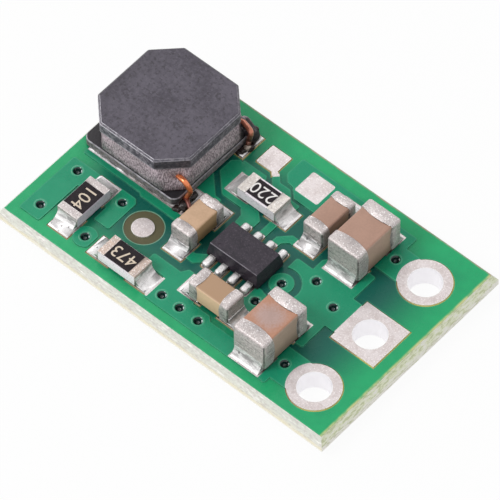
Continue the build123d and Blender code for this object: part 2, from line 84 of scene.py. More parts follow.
class Graph:
    """One node tree, filled a node at a time. A value is a number or a socket."""

    SAMPLES: int = 6
    BAND_CORE: float = 0.4

    def __init__(self, tree: bpy.types.NodeTree) -> None:
        """Keep the tree that the nodes go into."""
        self.tree = tree

    def add(self, kind: str, **settings: object) -> bpy.types.Node:
        """Add a node of a kind and set its own options.

        Args:
            kind: The node's type name without its ShaderNode prefix.
            settings: Options of the node, such as operation or data_type.

        Returns:
            The new node.
        """
        node = self.tree.nodes.new("ShaderNode" + kind)
        for name, value in settings.items():
            setattr(node, name, value)
        return node

    def put(self, target: Socket, source: Value | Triple) -> None:
        """Link a socket into another, or set its constant.

        Args:
            target: The input socket.
            source: An output socket, a number, a vector or a colour.
        """
        if isinstance(source, bpy.types.NodeSocket):
            self.tree.links.new(source, target)
        elif target.type == "RGBA":
            target.default_value = (*source, 1.0)
        else:
            target.default_value = source

    def math(self, operation: str, *values: Value) -> Socket:
        """Work out one number.

        Args:
            operation: The Math node's operation.
            values: As many values as the operation takes.

        Returns:
            The result's socket.
        """
        node = self.add("Math", operation=operation)
        for socket, value in zip(node.inputs, values):
            self.put(socket, value)
        return node.outputs[0]

    def times(self, *factors: Value) -> Value:
        """Multiply values with one another.

        Args:
            factors: The values.

        Returns:
            The product's socket, or the value itself where there is one alone.
        """
        product = factors[0]
        for factor in factors[1:]:
            product = self.math("MULTIPLY", product, factor)
        return product

    def step(self, value: Value, low: float, high: float) -> Socket:
        """Rise smoothly from 0 at low to 1 at high, or fall where low is above high.

        Args:
            value: What is measured.
            low: Where the result is 0.
            high: Where the result is 1.

        Returns:
            The mask's socket.
        """
        node = self.add("MapRange", interpolation_type="SMOOTHSTEP")
        self.put(node.inputs["Value"], value)
        ends = (low, high, 0.0, 1.0) if low < high else (high, low, 1.0, 0.0)
        for name, level in zip(("From Min", "From Max", "To Min", "To Max"), ends):
            node.inputs[name].default_value = level
        return node.outputs["Result"]

    def spread(self, value: Value, low: float, high: float) -> Socket:
        """Stretch a value from 0 to 1 over another range."""
        return self.math("MULTIPLY_ADD", value, high - low, low)

    def mix(self, below: Look, above: Look, mask: Value, strength: Value = 1.0) -> Socket:
        """Lay one colour over another.

        Args:
            below: The colour where the mask is 0.
            above: The colour where the mask is 1.
            mask: Where the upper colour shows.
            strength: How much of the mask counts.

        Returns:
            The mixed colour's socket.
        """
        node = self.add("Mix", data_type="RGBA")
        self.put(node.inputs["Factor"], mask if strength == 1.0 else self.times(mask, strength))
        colours = [socket for socket in node.inputs if socket.type == "RGBA"]
        self.put(colours[0], below)
        self.put(colours[1], above)
        return next(socket for socket in node.outputs if socket.type == "RGBA")

    def noise(self, place: Socket, lumps: Value | Triple, detail: float = 2.0,
              rough: float = 0.5) -> Socket:
        """Read soft noise from 0 to 1.

        Args:
            place: The place in millimetres.
            lumps: How many lumps there are in a millimetre, or in one along each axis.
            detail: How many finer layers lie on it.
            rough: How strong the finer layers are.

        Returns:
            The noise value's socket.
        """
        if isinstance(lumps, tuple):
            place, lumps = self.stretch(place, lumps), 1.0
        node = self.add("TexNoise")
        for name, value in (("Vector", place), ("Scale", lumps), ("Detail", detail),
                            ("Roughness", rough)):
            self.put(node.inputs[name], value)
        return node.outputs["Fac"]

    def cells(self, place: Socket, scale: float) -> Socket:
        """Read the distance to the nearest of many scattered points.

        Args:
            place: The place in millimetres.
            scale: How many points there are along a millimetre.

        Returns:
            The distance's socket.
        """
        node = self.add("TexVoronoi")
        self.put(node.inputs["Vector"], place)
        self.put(node.inputs["Scale"], scale)
        return node.outputs["Distance"]

    def vector(self, operation: str, output: str, *values: Triple | Socket) -> Socket:
        """Work with vectors.

        Args:
            operation: The Vector Math node's operation.
            output: Which of its outputs is wanted.
            values: As many vectors as the operation takes.

        Returns:
            The output's socket.
        """
        node = self.add("VectorMath", operation=operation)
        for socket, value in zip(node.inputs, values):
            self.put(socket, value)
        return node.outputs[output]

    def stretch(self, place: Socket, by: Triple, move: Triple = (0.0, 0.0, 0.0)) -> Socket:
        """Scale the place that a pattern reads along each axis, and then move it."""
        return self.vector("MULTIPLY_ADD", "Vector", place, by, move)

    def away(self, place: Socket, middle: Pair) -> Socket:
        """Measure the distance from an upright line through a point of the board."""
        flat = self.stretch(place, (1.0, 1.0, 0.0))
        return self.vector("DISTANCE", "Value", flat, (*middle, 0.0))

    def towards(self, normal: Socket, direction: Triple | Socket) -> Socket:
        """Measure how much a normal points in a direction."""
        return self.vector("DOT_PRODUCT", "Value", normal, direction)

    def axes(self, vector: Socket) -> list[Socket]:
        """Split a vector into its X, Y and Z.

        Args:
            vector: The vector.

        Returns:
            The three sockets.
        """
        node = self.add("SeparateXYZ")
        self.put(node.inputs[0], vector)
        return list(node.outputs)

    def band(self, value: Value, middle: float, half: float) -> Socket:
        """Mark a thin band about a level, full at its middle and gone at its half width."""
        gap = self.math("ABSOLUTE", self.math("SUBTRACT", value, middle))
        return self.step(gap, half, half * self.BAND_CORE)

    def sheltered(self, reach: float, open_level: float, closed_level: float) -> Socket:
        """Mark what lies close beside other surfaces, such as a crevice.

        Args:
            reach: How far other surfaces count, in millimetres.
            open_level: The openness where the mark starts.
            closed_level: The openness where it is full.

        Returns:
            The mask's socket.
        """
        node = self.add("AmbientOcclusion", samples=self.SAMPLES)
        node.inputs["Distance"].default_value = reach * MM
        return self.step(node.outputs["AO"], open_level, closed_level)

    def bump(self, height: Socket, strength: Value, depth: Value) -> Socket:
        """Tilt the surface as a height says.

        Args:
            height: The height from 0 to 1.
            strength: How much of the effect shows.
            depth: How deep 1 is, in metres.

        Returns:
            The normal's socket.
        """
        node = self.add("Bump")
        for name, value in (("Height", height), ("Strength", strength), ("Distance", depth)):
            self.put(node.inputs[name], value)
        return node.outputs["Normal"]


class Effects:
    """Shader effects that several finishes share, each built once as a group."""

    GRAIN_LEVELS: Pair = (0.55, 0.72)
    DARK_SHIFT: Triple = (7.3, 7.3, 7.3)
    CLOUD_LEVELS: Pair = (0.7, 1.3)
    CLOUD_FACTORS: Pair = (1.0, 6.0)
    TURN_LEVELS: Pair = (0.995, 0.93)
    BREAK_LEVELS: Pair = (0.35, 0.65)

    def __init__(self) -> None:
        """Build the groups."""
        self.speckle = self._speckle()
        self.mottle = self._mottle()
        self.tooth = self._tooth()
        self.rim = self._rim()

    @staticmethod
    def _group(name: str, inputs: dict[str, float], outputs: dict[str, str]
               ) -> tuple[Graph, bpy.types.NodeOutputs, bpy.types.NodeInputs]:
        """Start a group that reads a place and some numbers.

        Args:
            name: The group's name.
            inputs: The default of each number by its name.
            outputs: The socket type of each output by its name.

        Returns:
            The graph, the sockets that it is given and those that it fills.
        """
        tree = bpy.data.node_groups.new(name, "ShaderNodeTree")
        socket = tree.interface.new_socket
        socket("Place", in_out="INPUT", socket_type="NodeSocketVector")
        for label, value in inputs.items():
            socket(label, in_out="INPUT", socket_type="NodeSocketFloat").default_value = value
        for label, kind in outputs.items():
            socket(label, in_out="OUTPUT", socket_type="NodeSocket" + kind)
        given, out = (tree.nodes.new("NodeGroup" + end) for end in ("Input", "Output"))
        return Graph(tree), given.outputs, out.inputs

    def _speckle(self) -> bpy.types.NodeTree:
        """Make fine scattered grains: a mask of light ones and one of dark ones.

        Returns:
            The group.
        """
        graph, given, out = self._group("scattered grains", {"Scale": 20.0},
                                        {"Light": "Float", "Dark": "Float"})
        for label, shift in (("Light", (0.0, 0.0, 0.0)), ("Dark", self.DARK_SHIFT)):
            moved = graph.stretch(given["Place"], (1.0, 1.0, 1.0), shift)
            grains = graph.noise(moved, given["Scale"], detail=1.0)
            graph.put(out[label], graph.step(grains, *self.GRAIN_LEVELS))
        return graph.tree

    def _mottle(self) -> bpy.types.NodeTree:
        """Make soft uneven tone at two sizes, from 0 to 1 about a half.

        Returns:
            The group.
        """
        graph, given, out = self._group("soft mottling", {"Scale": 2.0}, {"Tone": "Float"})
        clouds = [graph.noise(given["Place"], graph.times(given["Scale"], factor), detail=3.0)
                  for factor in self.CLOUD_FACTORS]
        graph.put(out["Tone"], graph.step(graph.math("ADD", *clouds), *self.CLOUD_LEVELS))
        return graph.tree

    def _tooth(self) -> bpy.types.NodeTree:
        """Make the fine roughness of a matt surface as a normal.

        Returns:
            The group.
        """
        graph, given, out = self._group(
            "surface tooth", {"Scale": 20.0, "Strength": 0.3, "Depth": 0.01 * MM},
            {"Normal": "Vector"})
        height = graph.noise(given["Place"], given["Scale"], detail=3.0)
        graph.put(out["Normal"], graph.bump(height, given["Strength"], given["Depth"]))
        return graph.tree

    def _rim(self) -> bpy.types.NodeTree:
        """Find what lies within a short reach of an edge, for a painted highlight broken in places.

        Returns:
            The group.
        """
        graph, given, out = self._group("edge finder", {"Reach": 0.03 * MM, "Broken": 0.3},
                                        {"Mask": "Float"})
        round_off = graph.add("Bevel", samples=graph.SAMPLES)
        graph.put(round_off.inputs["Radius"], given["Reach"])
        plain = graph.add("NewGeometry")
        turn = graph.towards(round_off.outputs["Normal"], plain.outputs["Normal"])
        # Noise breaks the painted highlight in places.
        worn = graph.step(graph.noise(given["Place"], 3.0), *self.BREAK_LEVELS)
        kept = graph.math("SUBTRACT", 1.0, graph.times(worn, given["Broken"]))
        graph.put(out["Mask"], graph.times(graph.step(turn, *self.TURN_LEVELS), kept))
        return graph.tree


@dataclass(frozen=True)
class Patches:
    """Patches in soft noise: its lumps in a millimetre, and where a patch starts and is full."""

    lumps: float | Triple
    low: float
    high: float
    rough: float = 0.5
    detail: float = 3.0


class Paint:
    """A material under way: its graph, its places in millimetres and the colour laid so far."""

    def __init__(self, finish: "Finish", effects: Effects) -> None:
        """Start a material with one Principled shader.

        Args:
            finish: The finish, which gives its name, ground colour and roughness.
            effects: The shared groups.
        """
        self.material = bpy.data.materials.new(finish.name)
        self.material.use_nodes = True
        self.graph = Graph(self.material.node_tree)
        self.shader = self.material.node_tree.nodes["Principled BSDF"]
        self.colour: Look = finish.colour
        self.roughness = finish.roughness
        self.effects = effects
        where = self.graph.add("TexCoord")
        self.place = self.graph.stretch(where.outputs["Object"], (1 / MM,) * 3)
        self.normal = where.outputs["Normal"]
        self.facing = self.graph.axes(self.normal)
        self.x, self.y, self.z = self.graph.axes(self.place)

    def use(self, effect: bpy.types.NodeTree, output: str, **values: float) -> Socket:
        """Place a shared group in this material.

        Args:
            effect: The group.
            output: Which of its outputs is wanted.
            values: Its inputs by name.

        Returns:
            The output's socket.
        """
        node = self.graph.add("Group")
        node.node_tree = effect
        self.graph.put(node.inputs["Place"], self.place)
        for name, value in values.items():
            node.inputs[name].default_value = value
        return node.outputs[output]

    def tone(self, scale: float) -> Socket:
        """Read soft uneven tone, with so many clouds along a millimetre."""
        return self.use(self.effects.mottle, "Tone", Scale=scale)

    def light_grains(self, scale: float) -> Socket:
        """Mark light grains, with so many along a millimetre."""
        return self.use(self.effects.speckle, "Light", Scale=scale)

    def dark_grains(self, scale: float) -> Socket:
        """Mark dark grains, with so many along a millimetre."""
        return self.use(self.effects.speckle, "Dark", Scale=scale)

    def rim(self, reach: float, broken: float) -> Socket:
        """Mark a rim of so many millimetres along the edges, broken by so much."""
        return self.use(self.effects.rim, "Mask", Reach=reach * MM, Broken=broken)

    def tooth(self, scale: float, strength: float, depth: float = 0.01) -> Socket:
        """Roughen the surface, with so many bumps along a millimetre and so deep."""
        return self.use(self.effects.tooth, "Normal", Scale=scale, Strength=strength,
                        Depth=depth * MM)

    def patches(self, kind: Patches) -> Socket:
        """Mark the patches of a kind."""
        noise = self.graph.noise(self.place, kind.lumps, kind.detail, kind.rough)
        return self.graph.step(noise, kind.low, kind.high)

    def lay(self, colour: Look, mask: Value, strength: Value = 1.0) -> None:
        """Lay a colour over what is there, as far as a mask and its strength say."""
        self.colour = self.graph.mix(self.colour, colour, mask, strength=strength)

    def uneven(self, tone: Socket, rise: float) -> Socket:
        """Let the roughness rise with the tone over the finish's own."""
        return self.graph.spread(tone, self.roughness, self.roughness + rise)

    def done(self, **sockets: Value) -> None:
        """Give the shader its colour and roughness, and what else is named.

        Args:
            sockets: More of its sockets by name, with _ for a space, or another roughness.
        """
        plain = {"Base_Color": self.colour, "Roughness": self.roughness}
        for name, value in (plain | sockets).items():
            self.graph.put(self.shader.inputs[name.replace("_", " ")], value)


@dataclass(frozen=True)
class Finish:
    """A finish of the real board: its colour and how it is built up."""

    name: str
    colour: Colour
    roughness: float = 0.4

    def paint(self, paint: Paint) -> None:
        """Fill in the material. Each kind of finish does this its own way.

        Args:
            paint: The material under way.
        """
        raise NotImplementedError

    def material(self, effects: Effects) -> bpy.types.Material:
        """Make the material of this finish.

        Args:
            effects: The shared groups.

        Returns:
            The finished material.
        """
        paint = Paint(self, effects)
        self.paint(paint)
        return paint.material


@dataclass(frozen=True)
class MaskCoat(Finish):
    """Green coat over copper and laminate. Light soaks into the laminate from the board's edges,
    and
    this light is painted in: the coat over bare laminate is painted brighter towards them."""

    bare: Colour = shade(6, 92, 80)
    edge_glow: Colour = shade(34, 168, 108)
    cloud: Colour = shade(6, 100, 76)
    shaded: Colour = shade(0, 66, 60)
    ridge_highlight: Colour = shade(92, 186, 146)
    opening: Colour = shade(150, 190, 165)
    torn: Colour = shade(214, 208, 146)
    frayed: Colour = shade(172, 150, 128)
    foil_levels: Pair = (0.797, 0.805)
    half_size: Pair = (6.54, 4.065)
    soak: Pair = (2.3, 0.3)
    marker_lip: Pair = (0.665, 0.63)
    face: Pair = (6.38, 3.905)
    torn_reach: Pair = (0.1, 0.06)
    tears: Patches = Patches(2.2, 0.35, 0.6, rough=0.6)

    def paint(self, paint: Paint) -> None:
        """Tell copper and gaps apart by height, and paint light soaking in from the board's edges.

        Args:
            paint: The material under way.
        """
        graph = paint.graph
        along = (paint.x, paint.y)
        inside = [graph.math("SUBTRACT", half, graph.math("ABSOLUTE", place))
                  for half, place in zip(self.half_size, along)]
        # Painted light: the coat over bare laminate is brighter towards the board's edges.
        edge_glow = graph.step(graph.math("MINIMUM", *inside), *self.soak)
        low = graph.mix(self.bare, self.edge_glow, edge_glow)
        paint.colour = graph.mix(low, self.colour, graph.step(paint.z, *self.foil_levels))
        tone = paint.tone(0.6)
        paint.lay(self.cloud, tone, strength=0.16)
        shelter = graph.sheltered(reach=0.9, open_level=0.8, closed_level=0.25)
        paint.lay(self.shaded, shelter, strength=0.65)
        # Painted highlight along the coat's steps over the copper's edges.
        paint.lay(self.ridge_highlight, paint.rim(reach=0.055, broken=0.5), strength=0.5)
        lip = graph.step(graph.away(paint.place, MARKER), *self.marker_lip)
        paint.lay(self.opening, lip, strength=0.75)
        tears = graph.spread(paint.patches(self.tears), 0.3, 0.9)
        for limit, place, reach, look in zip(self.face, along, self.torn_reach,
                                             (self.torn, self.frayed)):
            edge = graph.step(graph.math("SUBTRACT", limit, place), reach, 0.01)
            paint.lay(look, edge, strength=tears)
        paint.done(Roughness=paint.uneven(tone, rise=0.08), IOR=1.5, Specular_IOR_Level=0.25,
                   Normal=paint.tooth(scale=5.0, strength=0.12))


@dataclass(frozen=True)
class GlassLaminate(Finish):
    """Glass laminate: olive where a gap shows it from above, cream and streaky at its snapped
    edges."""

    gap: Colour = shade(92, 84, 56)
    deep_gap: Colour = shade(70, 76, 48)
    thin_gap: Colour = shade(150, 126, 86)
    lit_gap: Colour = shade(196, 182, 96)
    cream: Colour = shade(246, 239, 212)
    sand: Colour = shade(240, 245, 212)
    floor_lit_sand: Colour = shade(255, 253, 246)
    olive: Colour = shade(192, 200, 148)
    fibre: Colour = shade(254, 252, 246)
    grain: Colour = shade(196, 188, 184)
    threads: Triple = (2.6, 2.6, 20.0)
    strands: Triple = (3.4, 3.4, 15.0)
    strand_shift: Triple = (0.0, 5.0, 0.0)
    weave: Triple = (9.0, 9.0, 2.0)
    fine: Patches = Patches((8.0, 8.0, 24.0), 0.42, 0.68)
    short_facing: Pair = (0.4, 0.8)
    grain_levels: Pair = (0.3, 0.55)
    cream_levels: Pair = (0.42, 0.58)
    floor_lit_levels: Pair = (0.37, 0.3)
    sand_levels: Pair = (0.6, 0.46)
    marker_edge: Pair = (0.66, 0.7)
    top_levels: Pair = (0.66, 0.7)
    pin_side: Pair = (4.9, 5.5)
    back_side: Pair = (1.6, 2.2)

    def paint(self, paint: Paint) -> None:
        """Lay the edge's bands, fibres and grains, near-white at the bottom as painted light, then
        the gaps seen from above, painted lighter beside the pins and at the back.

        Args:
            paint: The material under way.
        """
        graph = paint.graph
        threads = graph.noise(paint.place, self.threads, detail=3.0, rough=0.6)
        level = graph.math("ADD", paint.z, graph.spread(threads, -0.1, 0.1))
        short_side = graph.step(paint.facing[0], *self.short_facing)
        edge = graph.mix(self.cream, self.colour, graph.step(level, *self.cream_levels))
        # Painted light: the edge turns near-white towards the bottom, for light from the floor.
        edge = graph.mix(edge, self.fibre, graph.step(level, *self.floor_lit_levels))
        edge = graph.mix(edge, self.fibre, graph.step(threads, 0.5, 0.7), strength=0.8)
        grains = graph.times(paint.patches(self.fine), graph.step(paint.z, *self.grain_levels),
                             graph.spread(short_side, 1.0, 0.3))
        edge = graph.mix(edge, self.grain, grains, strength=0.6)
        shifted = graph.stretch(paint.place, self.strands, self.strand_shift)
        strands = graph.noise(shifted, 1.0, detail=3.0, rough=0.7)
        # The short sides are near-white towards the bottom too, as painted light.
        short = graph.mix(self.sand, self.floor_lit_sand, graph.step(level, *self.sand_levels))
        short = graph.mix(short, self.olive, graph.step(strands, 0.5, 0.4), strength=0.75)
        short = graph.mix(short, self.fibre, graph.step(strands, 0.52, 0.62), strength=0.8)
        edge = graph.mix(edge, short, short_side, strength=0.85)
        weave = graph.noise(paint.place, self.weave)
        ring = graph.mix(self.gap, self.deep_gap, weave, strength=0.7)
        # Painted light: narrow gaps beside the pins and towards the back are lighter, where light
        # falls in.
        back = graph.times(graph.step(paint.y, *self.back_side), 0.4)
        beside = graph.math("MAXIMUM", graph.step(paint.x, *self.pin_side), back)
        narrow = graph.mix(self.thin_gap, self.lit_gap, beside)
        marker = graph.step(graph.away(paint.place, MARKER), *self.marker_edge)
        flat = graph.times(graph.step(graph.math("ABSOLUTE", paint.facing[2]), *LEVEL),
                           graph.step(paint.z, *self.top_levels))
        paint.colour = graph.mix(edge, graph.mix(ring, narrow, marker), flat)
        paint.done(Normal=graph.bump(threads, strength=0.4, depth=0.04 * MM))


@dataclass(frozen=True)
class Tin(Finish):
    """Bright tin on lands, rings and the marker pad, a little pink from the copper below."""

    shadow: Colour = shade(178, 164, 160)
    sparkle: Colour = shade(255, 250, 248)
    lip: Colour = shade(232, 240, 234)
    crevice_shade: Colour = shade(92, 80, 72)
    wall: Colour = shade(253, 251, 254)
    metallic: float = 0.85
    shade_rise: Pair = (-4.9, -3.0)
    bright_end: Pair = (-4.1, -4.8)

    def paint(self, paint: Paint) -> None:
        """Add soft clouds and sparks, a painted highlight along the edges, painted shade in the
        crevices and near-white painted light on the steep faces.

        Args:
            paint: The material under way.
        """
        graph = paint.graph
        tone = paint.tone(2.2)
        paint.lay(self.shadow, tone, strength=0.5)
        paint.lay(self.sparkle, paint.light_grains(22.0), strength=0.4)
        # Painted highlight along the lands' edges.
        paint.lay(self.lip, paint.rim(reach=0.035, broken=0.6), strength=0.7)
        # Painted shade in the crevices beside the parts, weaker at the left.
        shade_strength = graph.spread(graph.step(paint.x, *self.shade_rise), 0.1, 0.95)
        crevice = graph.sheltered(reach=0.14, open_level=0.7, closed_level=0.45)
        paint.lay(self.crevice_shade, crevice, strength=shade_strength)
        # Painted light: steep faces, such as the pin barrels, are near-white; so are the lands at
        # the far left.
        wall = graph.step(graph.math("ABSOLUTE", paint.facing[2]), *STEEP)
        paint.lay(self.wall, graph.math("MAXIMUM", wall, graph.step(paint.x, *self.bright_end)))
        paint.done(Metallic=self.metallic, Roughness=paint.uneven(tone, rise=0.15),
                   Normal=paint.tooth(scale=14.0, strength=0.25))


@dataclass(frozen=True)
class PlatedEnd(Finish):
    """Plated end of a chip: sparkling grains on a satin skin."""

    shadow: Colour = shade(146, 137, 138)
    sparkle: Colour = shade(252, 249, 248)
    # Near-white of the painted highlight along the edges.
    worn: Colour = shade(254, 252, 252)
    # Dark grey of the painted crevice shade and corner reflection, and of the pits and streaks.
    crevice: Colour = shade(84, 78, 78)
    metallic: float = 0.35
    grain: float = 26.0
    corner_facing: Triple = (0.707, -0.707, 0.0)
    corner_levels: Pair = (0.94, 0.99)
    front_levels: Pair = (-0.7, -0.95)
    breaks: Patches = Patches(4.0, 0.35, 0.6, detail=2.0)
    specks: Patches = Patches(13.0, 0.48, 0.64, rough=0.7)
    lines: Patches = Patches((2.2, 2.2, 17.0), 0.57, 0.65, rough=0.6)

    def paint(self, paint: Paint) -> None:
        """Scatter light and dark grains over the satin skin, paint a highlight along its edges,
        shade into its crevices and a dark reflection down one corner, and add dark pits and
        streaks.

        Args:
            paint: The material under way.
        """
        graph = paint.graph
        tone = paint.tone(1.6)
        paint.lay(self.shadow, tone, strength=0.3)
        paint.lay(self.shadow, paint.dark_grains(self.grain * 0.8), strength=0.55)
        paint.lay(self.sparkle, paint.light_grains(self.grain), strength=0.85)
        # Painted highlight along the edges.
        paint.lay(self.worn, paint.rim(reach=0.03, broken=0.5), strength=0.8)
        # Painted shade in the crevices.
        crevice = graph.sheltered(reach=0.2, open_level=0.78, closed_level=0.45)
        paint.lay(self.crevice, crevice, strength=graph.spread(tone, 0.4, 1.0))
        # Painted dark reflection down the front right corner.
        corner = graph.step(graph.towards(paint.normal, self.corner_facing), *self.corner_levels)
        breaks = graph.spread(paint.patches(self.breaks), 0.35, 0.9)
        paint.lay(self.crevice, corner, strength=breaks)
        front = graph.step(paint.facing[1], *self.front_levels)
        paint.lay(self.crevice, graph.times(paint.patches(self.specks), front), strength=0.5)
        steep = graph.step(paint.facing[2], *STEEP)
        paint.lay(self.crevice, graph.times(paint.patches(self.lines), steep), strength=0.65)
        paint.done(Metallic=self.metallic,
                   Normal=paint.tooth(scale=self.grain, strength=0.5, depth=0.02))


@dataclass(frozen=True)
class Solder(Finish):
    """Reflowed solder: white satin metal with grey clouds and small dark dots."""

    dull: Colour = shade(176, 172, 172)
    dot_and_shade: Colour = shade(74, 68, 70)
    dot_lumps: float = 3.2
    dot_reach: Pair = (0.16, 0.1)
    steep: Pair = (0.8, 0.45)
    bead: Colour = shade(150, 132, 118)
    bead_levels: Pair = (0.86, 0.92)
    bead_strength: float = 0.0
    streaks: float = 0.6
    metallic: float = 0.5
    curves: Patches = Patches((2.6, 2.6, 11.0), 0.42, 0.6, rough=0.6)

    def paint(self, paint: Paint) -> None:
        """Mix the satin white with clouds and dots, paint streaks of shade into its crevices, and
        streak its steep sides.

        Args:
            paint: The material under way.
        """
        graph = paint.graph
        tone = paint.tone(3.5)
        paint.lay(self.dull, tone, strength=0.45)
        dots = graph.step(graph.cells(paint.place, self.dot_lumps), *self.dot_reach)
        paint.lay(self.dot_and_shade, dots, strength=0.7)
        curves = paint.patches(self.curves)
        # Painted shade in the crevices, broken into streaks.
        crevice = graph.sheltered(reach=0.3, open_level=0.86, closed_level=0.5)
        paint.lay(self.dot_and_shade, crevice, strength=graph.spread(curves, 0.15, 0.95))
        steep = graph.step(paint.facing[2], *self.steep)
        paint.lay(self.dot_and_shade, graph.times(curves, steep), strength=self.streaks)
        paint.lay(self.bead, graph.step(paint.z, *self.bead_levels), strength=self.bead_strength)
        paint.done(Metallic=self.metallic, Roughness=paint.uneven(tone, rise=0.15),
                   Normal=paint.tooth(scale=12.0, strength=0.35, depth=0.02))


@dataclass(frozen=True)
class Ceramic(Finish):
    """Fired chip ceramic: painted shade towards its foot, and sides given a painted-light colour of
    their own.
    """

    # The sides' own colour stands for the light that falls on them, as painted light.
    side: Colour = shade(196, 162, 122)
    foot: Colour = shade(128, 98, 62)
    foot_levels: Pair = (1.5, 0.9)
    front_facing: Pair = (0.0, -0.7)
    top_facing: Pair = (0.4, 0.9)
    blush: Colour = shade(176, 138, 120)
    blush_reach: Pair = (0.62, 0.2)
    middle: Pair = (0.0, 0.0)

    def paint(self, paint: Paint) -> None:
        """Paint shade down the sides, less on the front faces, blush the top about its middle and
        add fine grain.

        Args:
            paint: The material under way.
        """
        graph = paint.graph
        tone = paint.tone(2.5)
        # Painted shade towards the foot, weaker on the faces turned to the front, where more light
        # falls.
        foot_shade_strength = graph.spread(graph.step(paint.facing[1], *self.front_facing), 0.75, 0.15)
        low = graph.step(paint.z, *self.foot_levels)
        sides = graph.mix(self.side, self.foot, low, strength=foot_shade_strength)
        away = graph.math("ADD", graph.away(paint.place, self.middle),
                          graph.spread(tone, -0.1, 0.1))
        top = graph.mix(self.colour, self.blush, graph.step(away, *self.blush_reach))
        paint.colour = graph.mix(sides, top, graph.step(paint.facing[2], *self.top_facing))
        paint.lay(self.foot, tone, strength=0.18)
        paint.done(Normal=paint.tooth(scale=24.0, strength=0.25))


@dataclass(frozen=True)
class Alumina(Finish):
    """Pale sintered substrate of a chip resistor."""

    pore: Colour = shade(120, 118, 128)

    def paint(self, paint: Paint) -> None:
        """Add pores."""
        paint.lay(self.pore, paint.dark_grains(18.0), strength=0.35)
        paint.done(Normal=paint.tooth(scale=20.0, strength=0.3))


@dataclass(frozen=True)
class GlassCoat(Finish):
    """Dark glassy coat over a resistor's element."""

    cloud: Colour = shade(52, 45, 49)
    pit: Colour = shade(96, 88, 92)

    def paint(self, paint: Paint) -> None:
        """Add a faint cloud and fine pits.

        Args:
            paint: The material under way.
        """
        paint.lay(self.cloud, paint.tone(3.0), strength=0.4)
        paint.lay(self.pit, paint.light_grains(26.0), strength=0.12)
        paint.done(Specular_IOR_Level=0.12, Normal=paint.tooth(scale=16.0, strength=0.3))


@dataclass(frozen=True)
class Print(Finish):
    """Printed digits, thin and slightly worn."""

    worn: Colour = shade(120, 108, 104)

    def paint(self, paint: Paint) -> None:
        """Let the coat show through the ink in small spots."""
        paint.lay(self.worn, paint.dark_grains(16.0), strength=0.35)
        paint.done()


@dataclass(frozen=True)
class Moulding(Finish):
    """Moulded epoxy of the regulator chip, with a painted highlight along its front upper edge."""

    cloud: Colour = shade(66, 58, 68)
    filler: Colour = shade(104, 96, 106)
    edge: Colour = shade(176, 170, 180)
    highlight_levels: Pair = (1.362, 1.38)
    highlight_front: Pair = (-1.07, -1.084)

    def paint(self, paint: Paint) -> None:
        """Add the fine matt grain of the mould and its filler, and the painted highlight on its
        edge.

        Args:
            paint: The material under way.
        """
        graph = paint.graph
        paint.lay(self.cloud, paint.tone(1.5), strength=0.5)
        paint.lay(self.filler, paint.light_grains(24.0), strength=0.3)
        # Painted highlight along the front upper edge, broken by noise.
        line = graph.times(graph.step(paint.z, *self.highlight_levels),
                           graph.step(paint.y, *self.highlight_front))
        paint.lay(self.edge, line, strength=graph.spread(graph.noise(paint.place, 2.5), -0.1, 1.1))
        paint.done(Specular_IOR_Level=0.3,
                   Normal=paint.tooth(scale=22.0, strength=0.5, depth=0.015))


